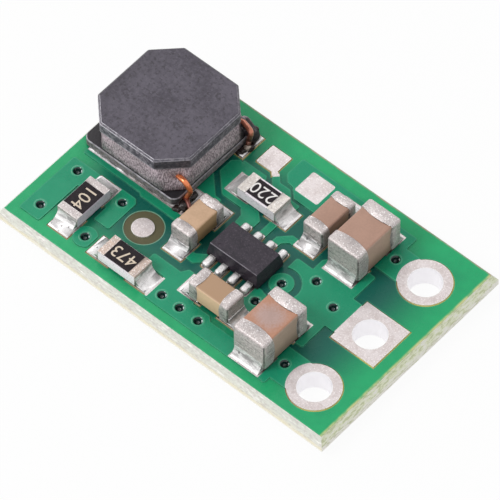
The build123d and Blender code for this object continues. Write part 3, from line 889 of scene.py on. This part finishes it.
@dataclass(frozen=True)
class Ferrite(Finish):
    """Pressed and fired ferrite: dark, with fine mottling, painted highlights along its edges and
    painted shade on faces turned from the light.
    """

    pale: Colour = shade(104, 99, 110)
    # Near-black of the pits, also laid as painted shade on turned faces.
    pit: Colour = shade(34, 30, 34)
    slope: Colour = shade(92, 90, 98)
    edge_highlight: Colour = shade(226, 223, 232)
    lit_grit: Colour = shade(152, 146, 154)
    seam: Colour = shade(12, 10, 12)
    foot: Colour = shade(136, 125, 118)
    flange_top: float = 2.572
    flange_bottom: float = 2.142
    flange_edge: float = 0.065
    edge_line: float = 0.014
    hem_line: float = 0.03
    slope_levels: Pair = (0.25, 0.5)
    front_facing: Triple = (-1.0, -1.0, 0.0)
    front_levels: Pair = (0.4, 0.65)
    corner_facing: Triple = (1.0, -1.0, 0.0)
    corner_levels: Pair = (1.25, 1.38)
    back_facing: Triple = (-0.67, 0.75, 0.0)
    back_levels: Pair = (0.05, 0.3)
    far_end: Pair = (-5.2, -6.6)
    specks: Patches = Patches(12.0, 0.42, 0.6, rough=0.7)
    grit: Patches = Patches(8.0, 0.44, 0.6, rough=0.7)
    gaps: Patches = Patches(3.2, 0.38, 0.55, rough=0.65)

    def paint(self, paint: Paint) -> None:
        """Lay broad tone, fine grain and pits, then the seam, the grit, painted shade on turned
        faces and the painted highlight lines.

        Args:
            paint: The material under way.
        """
        graph = paint.graph
        up = paint.facing[2]
        tone = paint.tone(1.1)
        paint.lay(self.pale, tone, strength=0.6)
        paint.lay(self.pale, paint.light_grains(15.0), strength=0.35)
        paint.lay(self.pit, paint.dark_grains(11.0), strength=0.5)
        ledge = graph.times(graph.step(up, *LEVEL),
                            graph.step(paint.z, FOOT_TOP + 0.02, FOOT_TOP + 0.01))
        paint.lay(self.seam, ledge, strength=0.85)
        side = graph.step(up, *SLOPING)
        sloping = graph.times(graph.step(up, *self.slope_levels), side)
        paint.lay(self.slope, sloping, strength=0.8)
        front, corner, behind = (
            graph.step(graph.towards(paint.normal, facing), *levels)
            for facing, levels in ((self.front_facing, self.front_levels),
                                   (self.corner_facing, self.corner_levels),
                                   (self.back_facing, self.back_levels)))
        low = graph.times(side, graph.step(paint.z, FOOT_TOP, FOOT_TOP - 0.03))
        paint.lay(self.foot, low, strength=graph.spread(paint.patches(self.specks), 0.15, 0.85))
        # Pale grit on the sides, a little stronger on the front faces as painted light.
        grit = graph.times(side, paint.patches(self.grit))
        paint.lay(self.lit_grit, grit, strength=graph.spread(front, 0.5, 0.65))
        # Painted shade on the front right corner faces and the sides turned to the back; darker
        # towards the far left end too.
        paint.lay(self.pit, corner, strength=0.6)
        paint.lay(self.pit, graph.times(behind, side), strength=0.6)
        paint.lay(self.pit, graph.step(paint.x, *self.far_end), strength=0.3)
        # Painted highlight lines along the edges of the flanges and the foot, strongest on the
        # front.
        lines: Value = 0.0
        for height, half, strength in ((self.flange_top, self.edge_line, 1.0),
                                       (self.flange_top - self.flange_edge, self.edge_line, 0.8),
                                       (self.flange_bottom + 0.02, self.hem_line, 0.4),
                                       (FOOT_TOP - 0.02, self.hem_line, 0.4)):
            band = graph.times(graph.band(paint.z, height, half), strength)
            lines = graph.math("MAXIMUM", lines, band)
        strength = graph.times(graph.spread(front, 0.35, 1.0),
                               graph.spread(paint.patches(self.gaps), 0.25, 1.0),
                               graph.spread(behind, 1.0, 0.15))
        paint.lay(self.edge_highlight, graph.times(lines, side), strength=strength)
        paint.done(Roughness=paint.uneven(tone, rise=0.12), Specular_IOR_Level=0.4,
                   Normal=paint.tooth(scale=13.0, strength=0.5, depth=0.02))


@dataclass(frozen=True)
class Resin(Finish):
    """Resin loaded with iron powder: pinkish grey with light and dark grains."""

    pale: Colour = shade(222, 204, 212)
    pit: Colour = shade(104, 88, 96)
    wet: Colour = shade(30, 26, 30)
    seam: Colour = shade(14, 11, 13)
    run_edge: Pair = (-2.8, 2.45)
    run_fade: float = 0.15
    streaks: Triple = (31.0, 31.0, 11.0)
    streak_levels: Pair = (0.4, 0.6)
    sparse: Patches = Patches(9.0, 0.62, 0.5, rough=0.7)

    def paint(self, paint: Paint) -> None:
        """Streak the lumpy fill with powder grains, and darken the run at the back.

        Args:
            paint: The material under way.
        """
        graph = paint.graph
        streaks = graph.math("ADD", graph.noise(paint.place, self.streaks, rough=0.6),
                             graph.spread(paint.tone(1.6), 0.03, -0.03))
        paint.colour = graph.mix(self.pit, self.pale, graph.step(streaks, *self.streak_levels))
        paint.lay(self.colour, 0.35)
        run = graph.times(*(graph.step(place, edge, edge + self.run_fade)
                            for place, edge in zip((paint.x, paint.y), self.run_edge)))
        paint.lay(self.wet, run, strength=graph.spread(paint.patches(self.sparse), 0.6, 0.95))
        paint.lay(self.seam, graph.step(paint.z, FOOT_TOP + 0.06, FOOT_TOP + 0.03), strength=0.85)
        lumps = graph.noise(paint.place, 3.5, detail=4.0, rough=0.6)
        paint.done(Specular_IOR_Level=0.35,
                   Normal=graph.bump(lumps, strength=0.8, depth=0.08 * MM))


@dataclass(frozen=True)
class Enamel(Finish):
    """Enamelled copper wire, orange with a dark burnt end."""

    # Dark brown of the burnt patches and of the painted shade on the flanks.
    burnt: Colour = shade(92, 44, 28)
    charred: Colour = shade(70, 40, 32)
    charred_below: float = 0.0
    char_fade: float = 0.25

    def paint(self, paint: Paint) -> None:
        """Darken the enamel in patches and towards its charred end, and paint shade on its flanks.

        Args:
            paint: The material under way.
        """
        graph = paint.graph
        tone = paint.tone(3.0)
        paint.lay(self.burnt, tone, strength=0.3)
        # Painted shade on the wire's flanks and underside.
        up = graph.math("ADD", paint.facing[2], graph.spread(tone, -0.12, 0.12))
        paint.lay(self.burnt, graph.step(up, 0.3, -0.15), strength=0.75)
        end = graph.step(paint.z, self.charred_below, self.charred_below - self.char_fade)
        paint.lay(self.charred, end, strength=0.75)
        paint.done(Metallic=0.55, Coat_Weight=0.5, Coat_Roughness=0.12,
                   Normal=paint.tooth(scale=9.0, strength=0.2))


@dataclass(frozen=True)
class CoatedBarrel(Finish):
    """Coat that sinks into a via: board green at the rim, then nearly black and glossy, the black
    being painted shade of the deep hole.
    """

    rim: Colour = shade(36, 150, 112)
    glint: Colour = shade(214, 236, 232)
    rim_levels: Pair = (0.805, 0.821)
    glint_levels: Pair = (0.755, 0.775)
    glint_facing: Triple = (-0.65, -0.57, 0.5)
    glint_turn: Pair = (0.9, 0.96)

    def paint(self, paint: Paint) -> None:
        """Paint shade quickly down the hole, with one painted glint on the far side.

        Args:
            paint: The material under way.
        """
        graph = paint.graph
        level = graph.math("ADD", paint.z, graph.spread(paint.tone(4.0), -0.003, 0.003))
        # Board green only at the rim; the nearly black below it is painted shade.
        paint.lay(self.rim, graph.step(level, *self.rim_levels))
        turn = graph.towards(paint.normal, self.glint_facing)
        glint = graph.times(graph.step(turn, *self.glint_turn),
                            graph.step(paint.z, *self.glint_levels))
        paint.lay(self.glint, glint, strength=0.9)
        paint.done(IOR=1.55, Normal=paint.tooth(scale=10.0, strength=0.1))


@dataclass(frozen=True)
class Flux(Finish):
    """Burnt flux and resin set hard beside a soldered wire: nearly black and wet looking."""

    amber: Colour = shade(84, 60, 48)

    def paint(self, paint: Paint) -> None:
        """Let amber show where the lump is thin.

        Args:
            paint: The material under way.
        """
        tone = paint.tone(3.0)
        paint.lay(self.amber, tone, strength=0.22)
        paint.done(Roughness=paint.uneven(tone, rise=0.2), Specular_IOR_Level=0.35,
                   Normal=paint.tooth(scale=6.0, strength=0.6, depth=0.04))


@dataclass(frozen=True)
class CopperFoil(Finish):
    """Copper foil that shows only at the edges of the coat's openings."""

    tarnish: Colour = shade(120, 72, 48)

    def paint(self, paint: Paint) -> None:
        """Add tarnish clouds."""
        paint.lay(self.tarnish, paint.tone(2.0), strength=0.5)
        paint.done(Metallic=0.8)


class Kind(Enum):
    """The finishes that the board's pieces take."""

    MASK = MaskCoat("green coat", shade(20, 147, 107), 0.22)
    LAMINATE = GlassLaminate("glass laminate", shade(220, 222, 212), 0.6)
    TIN = Tin("tinned land", shade(206, 198, 198), 0.34)
    PLATED = PlatedEnd("plated end", shade(204, 194, 192), 0.42)
    CREAM_END = PlatedEnd("pale plated end", shade(224, 216, 208), 0.45)
    PINK_END = PlatedEnd("warm plated end", shade(206, 184, 170), 0.45)
    SOLDER = Solder("reflowed solder", shade(248, 245, 245), 0.34)
    BEAD = Solder("solder bead", shade(248, 245, 245), 0.34, bead_strength=0.85)
    LEAD = Solder("plated lead", shade(255, 253, 251), 0.34, dull=shade(234, 230, 228),
                  metallic=0.7, streaks=0.15)
    BEIGE = Ceramic("beige ceramic", shade(202, 167, 136), 0.45)
    TAN = Ceramic("tan ceramic", shade(172, 138, 108), 0.45, side=shade(232, 198, 164),
                  foot=shade(172, 138, 104))
    BROWN = Ceramic("brown ceramic", shade(176, 138, 120), 0.45, side=shade(186, 156, 140),
                    foot=shade(116, 92, 78))
    BLUSHED = Ceramic("blushed ceramic", shade(186, 134, 108), 0.45, side=shade(182, 158, 142),
                      foot=shade(120, 98, 84), blush=shade(184, 154, 146), middle=(2.97, -2.3))
    GREY_ALUMINA = Alumina("grey alumina", shade(210, 198, 212), 0.5)
    WHITE_ALUMINA = Alumina("white alumina", shade(251, 242, 249), 0.5)
    COAT = GlassCoat("dark overcoat", shade(30, 24, 28), 0.35)
    PALE_PRINT = Print("pale print", shade(216, 200, 180), 0.5)
    WHITE_PRINT = Print("white print", shade(236, 232, 230), 0.5)
    MOULDING = Moulding("moulded epoxy", shade(36, 31, 40), 0.45)
    FERRITE = Ferrite("ferrite", shade(64, 59, 70), 0.42)
    RESIN = Resin("powder resin", shade(164, 153, 158), 0.6)
    WIRE = Enamel("enamelled wire", shade(255, 146, 90), 0.24)
    DULL_WIRE = Enamel("dull enamelled wire", shade(206, 128, 102), 0.3, charred_below=1.35)
    BURNT_WIRE = Enamel("burnt wire", shade(110, 50, 38), 0.36)
    BARREL = CoatedBarrel("coated barrel", shade(4, 30, 24), 0.2)
    FUNNEL = CoatedBarrel("coated via", shade(2, 38, 36), 0.16)
    FLUX = Flux("dark flux", shade(26, 22, 24), 0.12)
    COPPER = CopperFoil("copper foil", shade(222, 176, 140), 0.4)


class Palette:
    """Makes each finish's material once and hands it out."""

    def __init__(self) -> None:
        """Build the shared effects and start with no materials."""
        self.effects = Effects()
        self.made: dict[Kind, bpy.types.Material] = {}

    def __getitem__(self, kind: Kind) -> bpy.types.Material:
        """Return the material of a kind, made on first use.

        Args:
            kind: The finish.

        Returns:
            Its material.
        """
        if kind not in self.made:
            self.made[kind] = kind.value.material(self.effects)
        return self.made[kind]


def alone(piece: bpy.types.Object) -> None:
    """Deselect everything and make one piece the active one.

    Args:
        piece: The piece.
    """
    bpy.ops.object.select_all(action="DESELECT")
    piece.select_set(True)
    bpy.context.view_layer.objects.active = piece


def settle(piece: bpy.types.Object) -> None:
    """Move a piece's place into its mesh, so that its object sits at the origin."""
    alone(piece)
    bpy.ops.object.transform_apply(location=True, rotation=True, scale=True)


@dataclass
class Dresser:
    """Gives nodes and new pieces their finish and their place in the frame."""

    palette: Palette
    smooth_angle: float = 40.0
    merge_reach: float = 0.0002
    level_facing: float = 0.999

    def node(self, name: str, kind: Kind) -> None:
        """Give a CAD node its material.

        Args:
            name: The node's name.
            kind: Its finish.
        """
        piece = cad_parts[name]
        if not piece.material_slots:
            piece.data.materials.append(self.palette[kind])
        for place in piece.material_slots:
            place.material = self.palette[kind]
        log.info("%s: %s", name, kind.value.name)

    def rounded(self, name: str, kind: Kind, slot: str, flat_tops: bool = False) -> None:
        """Stand a smoothly shaded copy in for a CAD node.

        Args:
            name: The node's name.
            kind: Its finish.
            slot: The record's material slot.
            flat_tops: Whether level faces keep their plain flat shading.
        """
        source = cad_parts[name]
        piece = bpy.data.objects.new(name + "_form", source.data.copy())
        bpy.context.scene.collection.objects.link(piece)
        alone(piece)
        bpy.ops.object.mode_set(mode="EDIT")
        bpy.ops.mesh.select_all(action="SELECT")
        bpy.ops.mesh.remove_doubles(threshold=self.merge_reach * MM)
        bpy.ops.object.mode_set(mode="OBJECT")
        bpy.ops.object.shade_smooth_by_angle(angle=math.radians(self.smooth_angle))
        if flat_tops:
            for face in piece.data.polygons:
                if abs(face.normal.z) > self.level_facing:
                    face.use_smooth = False
        evened = piece.modifiers.new("even shading", "WEIGHTED_NORMAL")
        evened.keep_sharp = True
        bpy.ops.object.modifier_apply(modifier=evened.name)
        self.finish(piece, kind, slot)
        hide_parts(name)

    def finish(self, piece: bpy.types.Object, kind: Kind, slot: str) -> None:
        """Give a new piece its material and body.

        Args:
            piece: The piece, settled in place.
            kind: Its finish.
            slot: The record's material slot; not used.
        """
        piece.data.materials.clear()
        piece.data.materials.append(self.palette[kind])
        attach(piece, "root")
        log.info("%s: %s, %d faces", piece.name, kind.value.name, len(piece.data.polygons))


@dataclass
class BareBoard:
    """The bare circuit board: laminate, copper, coat, vias and lands."""

    dresser: Dresser
    layers: Sequence[tuple[str, Kind]] = (
        ("laminate_core", Kind.LAMINATE), ("solder_mask_top", Kind.MASK),
        ("solder_mask_bottom", Kind.MASK), ("copper_top", Kind.COPPER),
        ("copper_bottom", Kind.COPPER))
    lands: Sequence[str] = ("spare_lands", "inductor_lands", "regulator_lands", "resistor_lands",
                            "capacitor_lands", "fiducial_pad")

    def dress(self) -> None:
        """Dress the board's nodes."""
        for name, kind in self.layers:
            self.dresser.node(name, kind)
        self.dresser.rounded("via_barrels", Kind.BARREL, "copper")
        for name in self.lands:
            self.dresser.node(name, Kind.TIN)


@dataclass
class ViaFunnels:
    """The coat that sinks into each via hole as a small glossy funnel. Rings go from the rim down,
    each with its radius and height."""

    dresser: Dresser
    places: Sequence[Pair] = (
        (-5.62, -1.42), (-3.79, -1.42), (-5.62, -3.1), (-3.79, -3.1), (-0.59, -3.19), (0.12, -3.19),
        (0.86, -3.19), (1.67, -1.51), (1.84, -0.51), (2.58, 0.25), (3.59, -0.15), (3.84, 2.43),
        (3.85, -2.66))
    rings: Sequence[Pair] = (
        (0.215, 0.8202), (0.195, 0.8225), (0.178, 0.8245), (0.165, 0.8215), (0.15, 0.813),
        (0.135, 0.801), (0.12, 0.785), (0.105, 0.762), (0.09, 0.73), (0.07, 0.7), (0.045, 0.68),
        (0.02, 0.675))
    segments: int = 28
    smooth_angle: float = 60.0

    def build(self) -> None:
        """Model one funnel, copy it to every via and join the copies."""
        first = self.funnel(self.places[0])
        copies = [first]
        for place in self.places[1:]:
            copy = first.copy()
            copy.data = first.data.copy()
            bpy.context.scene.collection.objects.link(copy)
            shift = Vector((place[0] - self.places[0][0], place[1] - self.places[0][1], 0.0)) * MM
            copy.data.transform(Matrix.Translation(shift))
            copies.append(copy)
        alone(first)
        for copy in copies:
            copy.select_set(True)
        bpy.ops.object.join()
        first.name = "via_funnels"
        self.dresser.finish(first, Kind.FUNNEL, "mask")

    def funnel(self, place: Pair) -> bpy.types.Object:
        """Draw a ring in step after step down into the hole and close its bottom.

        Args:
            place: X and Y of the via.

        Returns:
            The funnel.
        """
        bpy.ops.object.select_all(action="DESELECT")
        radius, level = self.rings[0]
        bpy.ops.mesh.primitive_circle_add(vertices=self.segments, radius=radius * MM,
                                          location=(place[0] * MM, place[1] * MM, level * MM))
        piece = bpy.context.active_object
        settle(piece)
        bpy.ops.object.mode_set(mode="EDIT")
        bpy.ops.mesh.select_all(action="SELECT")
        centre = Vector((place[0], place[1], 0.0)) * MM
        for smaller, lower in self.rings[1:]:
            bpy.ops.mesh.extrude_region_move(
                TRANSFORM_OT_translate={"value": (0.0, 0.0, (lower - level) * MM)})
            bpy.ops.transform.resize(value=(smaller / radius, smaller / radius, 1.0),
                                     center_override=centre)
            radius, level = smaller, lower
        bpy.ops.mesh.edge_face_add()
        bpy.ops.mesh.select_all(action="SELECT")
        bpy.ops.mesh.normals_make_consistent(inside=False)
        bpy.ops.object.mode_set(mode="OBJECT")
        if sum(face.normal.z for face in piece.data.polygons) < 0:
            piece.data.flip_normals()
        bpy.ops.object.shade_smooth_by_angle(angle=math.radians(self.smooth_angle))
        return piece


@dataclass
class FluxLumps:
    """Hard dark flux and resin that ran beside the wire ends on the inductor's lands. A lump has
    its name, middle, half sizes and turn in degrees."""

    dresser: Dresser
    lumps: Sequence[tuple[str, Triple, Triple, float]] = (
        ("flux_back", (-2.35, 2.97, 0.88), (0.13, 0.2, 0.2), 0.0),
        ("flux_back_top", (-2.46, 3.19, 0.95), (0.12, 0.12, 0.24), 0.0),
        ("flux_back_foot", (-2.32, 2.43, 0.83), (0.12, 0.14, 0.11), 0.0),
        ("flux_back_bead", (-2.2, 2.68, 0.85), (0.1, 0.17, 0.11), 0.0),
        ("flux_back_corner", (-2.37, 2.31, 0.825), (0.11, 0.1, 0.06), 20.0),
        ("flux_front", (-2.31, 0.06, 0.84), (0.13, 0.3, 0.12), 0.0),
        ("flux_front_bead", (-2.26, -0.29, 0.87), (0.19, 0.2, 0.17), 0.0),
        ("flux_front_foot", (-2.36, -0.5, 0.83), (0.16, 0.13, 0.08), 30.0))
    dents: int = 6
    dent_turn: float = 2.4
    start_turn: float = 10
    lowest: float = 0.2
    rise: float = 0.1
    dent_depth: float = 0.025
    swell_height: float = 0.03
    dent_reach: float = 0.09
    tail: Sequence[Triple] = ((-2.44, -0.13, 0.95), (-2.3, -0.12, 1.06), (-2.12, -0.26, 1.02),
                              (-1.97, -0.33, 0.9))
    tail_radius: float = 0.075
    tail_smooth_angle: float = 50.0

    def build(self) -> None:
        """Model each lump and the wire's end."""
        for lump in self.lumps:
            self.lump(*lump)
        self.wire_end()

    def lump(self, name: str, place: Triple, size: Triple, turn: float) -> None:
        """Pull a ball flat onto the land and push its surface in and out in places.

        Args:
            name: The piece's name.
            place: Its middle.
            size: Its half length, half width and half height.
            turn: Its turn about Z in degrees.
        """
        bpy.ops.object.select_all(action="DESELECT")
        bpy.ops.mesh.primitive_ico_sphere_add(subdivisions=4, radius=MM,
                                              location=tuple(p * MM for p in place),
                                              rotation=(0.0, 0.0, math.radians(turn)))
        piece = bpy.context.active_object
        piece.name = name
        piece.scale = size
        settle(piece)
        bpy.ops.object.mode_set(mode="EDIT")
        for step in range(self.dents):
            bpy.ops.mesh.select_all(action="DESELECT")
            bpy.ops.object.mode_set(mode="OBJECT")
            angle = step * self.dent_turn + size[0] * self.start_turn
            spot = Vector(place) + Vector((size[0] * math.cos(angle), size[1] * math.sin(angle),
                                           size[2] * (self.lowest + self.rise * step)))
            nearest = min(piece.data.vertices, key=lambda v: (v.co / MM - spot).length)
            nearest.select = True
            way = self.swell_height if step % 2 else -self.dent_depth
            push = (nearest.co / MM - Vector(place)).normalized() * way * MM
            bpy.ops.object.mode_set(mode="EDIT")
            bpy.ops.transform.translate(value=push, use_proportional_edit=True,
                                        proportional_edit_falloff="SMOOTH",
                                        proportional_size=self.dent_reach * MM)
        bpy.ops.object.mode_set(mode="OBJECT")
        bpy.ops.object.shade_smooth()
        self.dresser.finish(piece, Kind.FLUX, "resin")

    def wire_end(self) -> None:
        """Lay the burnt end of the front wire over the flux, along a curve made into a mesh."""
        bpy.ops.object.select_all(action="DESELECT")
        bpy.ops.curve.primitive_bezier_curve_add()
        piece = bpy.context.active_object
        piece.name = "wire_front_end"
        for point, place in zip(piece.data.splines[0].bezier_points, (self.tail[0], self.tail[-1])):
            point.co = Vector(place) * MM
            point.handle_left_type = point.handle_right_type = "FREE"
        first, last = piece.data.splines[0].bezier_points
        first.handle_left, first.handle_right = first.co, Vector(self.tail[1]) * MM
        last.handle_left, last.handle_right = Vector(self.tail[2]) * MM, last.co
        piece.data.bevel_depth = self.tail_radius * MM
        piece.data.bevel_resolution = 5
        piece.data.resolution_u = 14
        piece.data.use_fill_caps = True
        alone(piece)
        bpy.ops.object.convert(target="MESH")
        settle(piece)
        bpy.ops.object.shade_smooth_by_angle(angle=math.radians(self.tail_smooth_angle))
        self.dresser.finish(piece, Kind.BURNT_WIRE, "wire")


@dataclass
class PinRow:
    """The row of plated pin holes."""

    dresser: Dresser
    names: Sequence[str] = ("front", "middle", "back")

    def dress(self) -> None:
        """Dress each hole's ring and barrel, smooth inside."""
        for name in self.names:
            self.dresser.rounded("pin_hole_" + name, Kind.TIN, "tinned", flat_tops=True)


@dataclass
class ChipResistor:
    """One chip resistor with its printed code. The turn of the code is in degrees."""

    dresser: Dresser
    number: int
    code: str
    turn: float
    substrate: Kind
    ends: Kind
    ink: Kind
    digit_height: float = 0.42
    digit_share: float = 0.69
    ink_thickness: float = 0.004

    def dress(self) -> None:
        """Dress the resistor's nodes and print its code."""
        name = "resistor_%d_" % self.number
        self.dresser.rounded(name + "body", self.substrate, "alumina")
        self.dresser.rounded(name + "terminals", self.ends, "plated_end")
        self.dresser.node(name + "overcoat", Kind.COAT)
        self.dresser.rounded(name + "solder", Kind.SOLDER, "solder")
        self.print_code(name)

    def print_code(self, name: str) -> None:
        """Print the code on the overcoat as thin raised ink.

        Args:
            name: The start of the resistor's node names.
        """
        low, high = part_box(name + "overcoat")
        centre = (low + high) / 2
        bpy.ops.object.select_all(action="DESELECT")
        bpy.ops.object.text_add(location=(centre.x, centre.y, high.z),
                                rotation=(0.0, 0.0, math.radians(self.turn)))
        piece = bpy.context.active_object
        text = piece.data
        text.body = self.code
        text.size = self.digit_height / self.digit_share * MM
        text.align_x, text.align_y = "CENTER", "CENTER"
        text.extrude = self.ink_thickness / 2 * MM
        text.resolution_u = 3
        piece.name = name + "code"
        alone(piece)
        bpy.ops.object.convert(target="MESH")
        settle(piece)
        self.dresser.finish(piece, self.ink, "overcoat")


@dataclass
class ChipCapacitor:
    """One ceramic chip capacitor."""

    dresser: Dresser
    number: int
    ceramic: Kind
    slot: str

    def dress(self) -> None:
        """Dress the capacitor's nodes."""
        name = "capacitor_%d_" % self.number
        self.dresser.rounded(name + "body", self.ceramic, self.slot)
        self.dresser.rounded(name + "terminals", Kind.PLATED, "plated_end")
        self.dresser.rounded(name + "solder", Kind.SOLDER, "solder")


@dataclass
class RegulatorChip:
    """The eight-lead regulator chip."""

    dresser: Dresser

    def dress(self) -> None:
        """Dress the chip's nodes."""
        self.dresser.rounded("regulator_body", Kind.MOULDING, "moulding", flat_tops=True)
        self.dresser.rounded("regulator_leads", Kind.LEAD, "lead")
        self.dresser.rounded("regulator_solder", Kind.SOLDER, "solder")


@dataclass
class DrumInductor:
    """The shielded drum inductor: ferrite, resin, wire tails and solder."""

    dresser: Dresser

    def dress(self) -> None:
        """Dress the inductor's nodes."""
        self.dresser.node("inductor_core", Kind.FERRITE)
        self.dresser.rounded("inductor_resin", Kind.RESIN, "resin")
        self.dresser.node("inductor_winding", Kind.WIRE)
        self.dresser.rounded("inductor_wire_front", Kind.WIRE, "wire")
        self.dresser.rounded("inductor_wire_back", Kind.DULL_WIRE, "wire")
        self.dresser.node("inductor_terminals", Kind.PLATED)
        self.dresser.rounded("inductor_solder", Kind.BEAD, "solder")


@dataclass
class Studio:
    """Floor, world, lamps and the camera at the photograph's angle. Angles are in degrees, and a
    lamp has its name, place, size and power in watts."""

    azimuth: float = 41.845
    elevation: float = 54.123
    roll: float = -0.562
    distance: float = 200.457
    focal_pixels: float = 6628.63
    image_pixels: int = 500
    offset: Pair = (-3.155, -9.023)
    centre: Triple = (0.0, 0.0, 0.80)
    sensor: float = 36.0
    clip: Pair = (10.0, 10000.0)
    sky: float = 0.62
    lamps: Sequence[tuple[str, Triple, float, float]] = (
        ("key lamp", (-70.0, -120.0, 150.0), 90.0, 0.17),
        ("fill lamp", (-120.0, 60.0, 120.0), 120.0, 0.05))
    floor_size: float = 1200.0
    floor_drop: float = 0.02
    floor_tones: tuple[Colour, Colour] = ((0.80, 0.80, 0.80), (0.84, 0.84, 0.84))
    floor_clouds: float = 30.0
    floor_roughness: float = 0.9
    floor_white: float = 0.94

    def camera(self) -> None:
        """Stand the camera where the photograph's camera stood."""
        az, el, roll = (math.radians(a) for a in (self.azimuth, self.elevation, self.roll))
        back = Vector((math.sin(az) * math.cos(el), -math.cos(az) * math.cos(el), math.sin(el)))
        right = Vector((math.cos(az), math.sin(az), 0.0))
        up = back.cross(right).normalized()
        right, up = (right * math.cos(roll) + up * math.sin(roll),
                     up * math.cos(roll) - right * math.sin(roll))
        pixel = self.distance / self.focal_pixels
        aim = Vector(self.centre) - right * (self.offset[0] * pixel) + up * (self.offset[1] * pixel)
        data = bpy.data.cameras.new("camera")
        data.sensor_width = self.sensor
        data.lens = self.focal_pixels / self.image_pixels * self.sensor
        data.clip_start, data.clip_end = (limit * MM for limit in self.clip)
        stand = bpy.data.objects.new("camera", data)
        turn = Matrix((right, up, back)).transposed().to_4x4()
        stand.matrix_world = Matrix.Translation((aim + back * self.distance) * MM) @ turn
        bpy.context.scene.collection.objects.link(stand)
        bpy.context.scene.camera = stand

    def lights(self) -> None:
        """Hang the lamps and light the world, white where camera and gloss see it."""
        for name, place, size, power in self.lamps:
            data = bpy.data.lights.new(name, "AREA")
            data.shape, data.size, data.energy = "DISK", size * MM, power
            lamp = bpy.data.objects.new(name, data)
            lamp.location = Vector(place) * MM
            lamp.rotation_euler = (-Vector(place)).to_track_quat("-Z", "Y").to_euler()
            bpy.context.scene.collection.objects.link(lamp)
        world = bpy.data.worlds.new("studio")
        bpy.context.scene.world = world
        world.use_nodes = True
        graph = Graph(world.node_tree)
        back = world.node_tree.nodes["Background"]
        graph.put(back.inputs["Color"], (1.0, 1.0, 1.0))
        graph.put(back.inputs["Strength"], graph.spread(self.seen(graph), self.sky, 1.0))

    @staticmethod
    def seen(graph: Graph) -> Socket:
        """Tell rays that show the background from rays that light the object.

        Args:
            graph: The graph that asks.

        Returns:
            The mask's socket.
        """
        path = graph.add("LightPath")
        seen = graph.math("MAXIMUM", path.outputs["Is Camera Ray"], path.outputs["Is Glossy Ray"])
        return graph.math("MAXIMUM", seen, path.outputs["Is Transmission Ray"])

    def floor(self) -> None:
        """Lay the pale floor that keeps a soft shadow."""
        bpy.ops.object.select_all(action="DESELECT")
        bpy.ops.mesh.primitive_plane_add(size=self.floor_size * MM,
                                         location=(0.0, 0.0, -self.floor_drop * MM))
        floor = bpy.context.active_object
        floor.name = "floor"
        material = bpy.data.materials.new("pale floor")
        material.use_nodes = True
        graph = Graph(material.node_tree)
        plain = material.node_tree.nodes["Principled BSDF"]
        clouds = graph.noise(graph.add("TexCoord").outputs["Object"], self.floor_clouds)
        graph.put(plain.inputs["Base Color"], graph.mix(*self.floor_tones, clouds))
        graph.put(plain.inputs["Roughness"], self.floor_roughness)
        graph.put(plain.inputs["Specular IOR Level"], 0.0)
        glow = graph.add("Emission")
        graph.put(glow.inputs["Strength"], 1.0)
        blend = graph.add("MixShader")
        graph.put(blend.inputs["Fac"], graph.times(self.seen(graph), self.floor_white))
        graph.put(blend.inputs[1], plain.outputs[0])
        graph.put(blend.inputs[2], glow.outputs[0])
        out = material.node_tree.nodes["Material Output"]
        graph.put(out.inputs["Surface"], blend.outputs[0])
        floor.data.materials.append(material)

    def build(self) -> None:
        """Build the studio."""
        self.camera()
        self.lights()
        self.floor()
        bpy.context.scene.view_settings.view_transform = "Standard"


def main() -> None:
    """Build the studio and dress each sub-assembly in order."""
    logging.basicConfig(level=logging.INFO, format="%(name)s %(message)s")
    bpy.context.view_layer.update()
    Studio().build()
    dresser = Dresser(Palette())
    BareBoard(dresser).dress()
    ViaFunnels(dresser).build()
    PinRow(dresser).dress()
    for resistor in ((1, "104", -90.0, Kind.GREY_ALUMINA, Kind.PLATED, Kind.PALE_PRINT),
                     (2, "473", 180.0, Kind.WHITE_ALUMINA, Kind.PINK_END, Kind.PALE_PRINT),
                     (3, "220", 180.0, Kind.WHITE_ALUMINA, Kind.CREAM_END, Kind.WHITE_PRINT)):
        ChipResistor(dresser, *resistor).dress()
    for capacitor in ((1, Kind.BEIGE, "beige_ceramic"), (2, Kind.TAN, "beige_ceramic"),
                      (3, Kind.BROWN, "brown_ceramic"), (4, Kind.BROWN, "brown_ceramic"),
                      (5, Kind.BLUSHED, "brown_ceramic")):
        ChipCapacitor(dresser, *capacitor).dress()
    RegulatorChip(dresser).dress()
    DrumInductor(dresser).dress()
    FluxLumps(dresser).build()


if __name__ == "__main__":
    main()
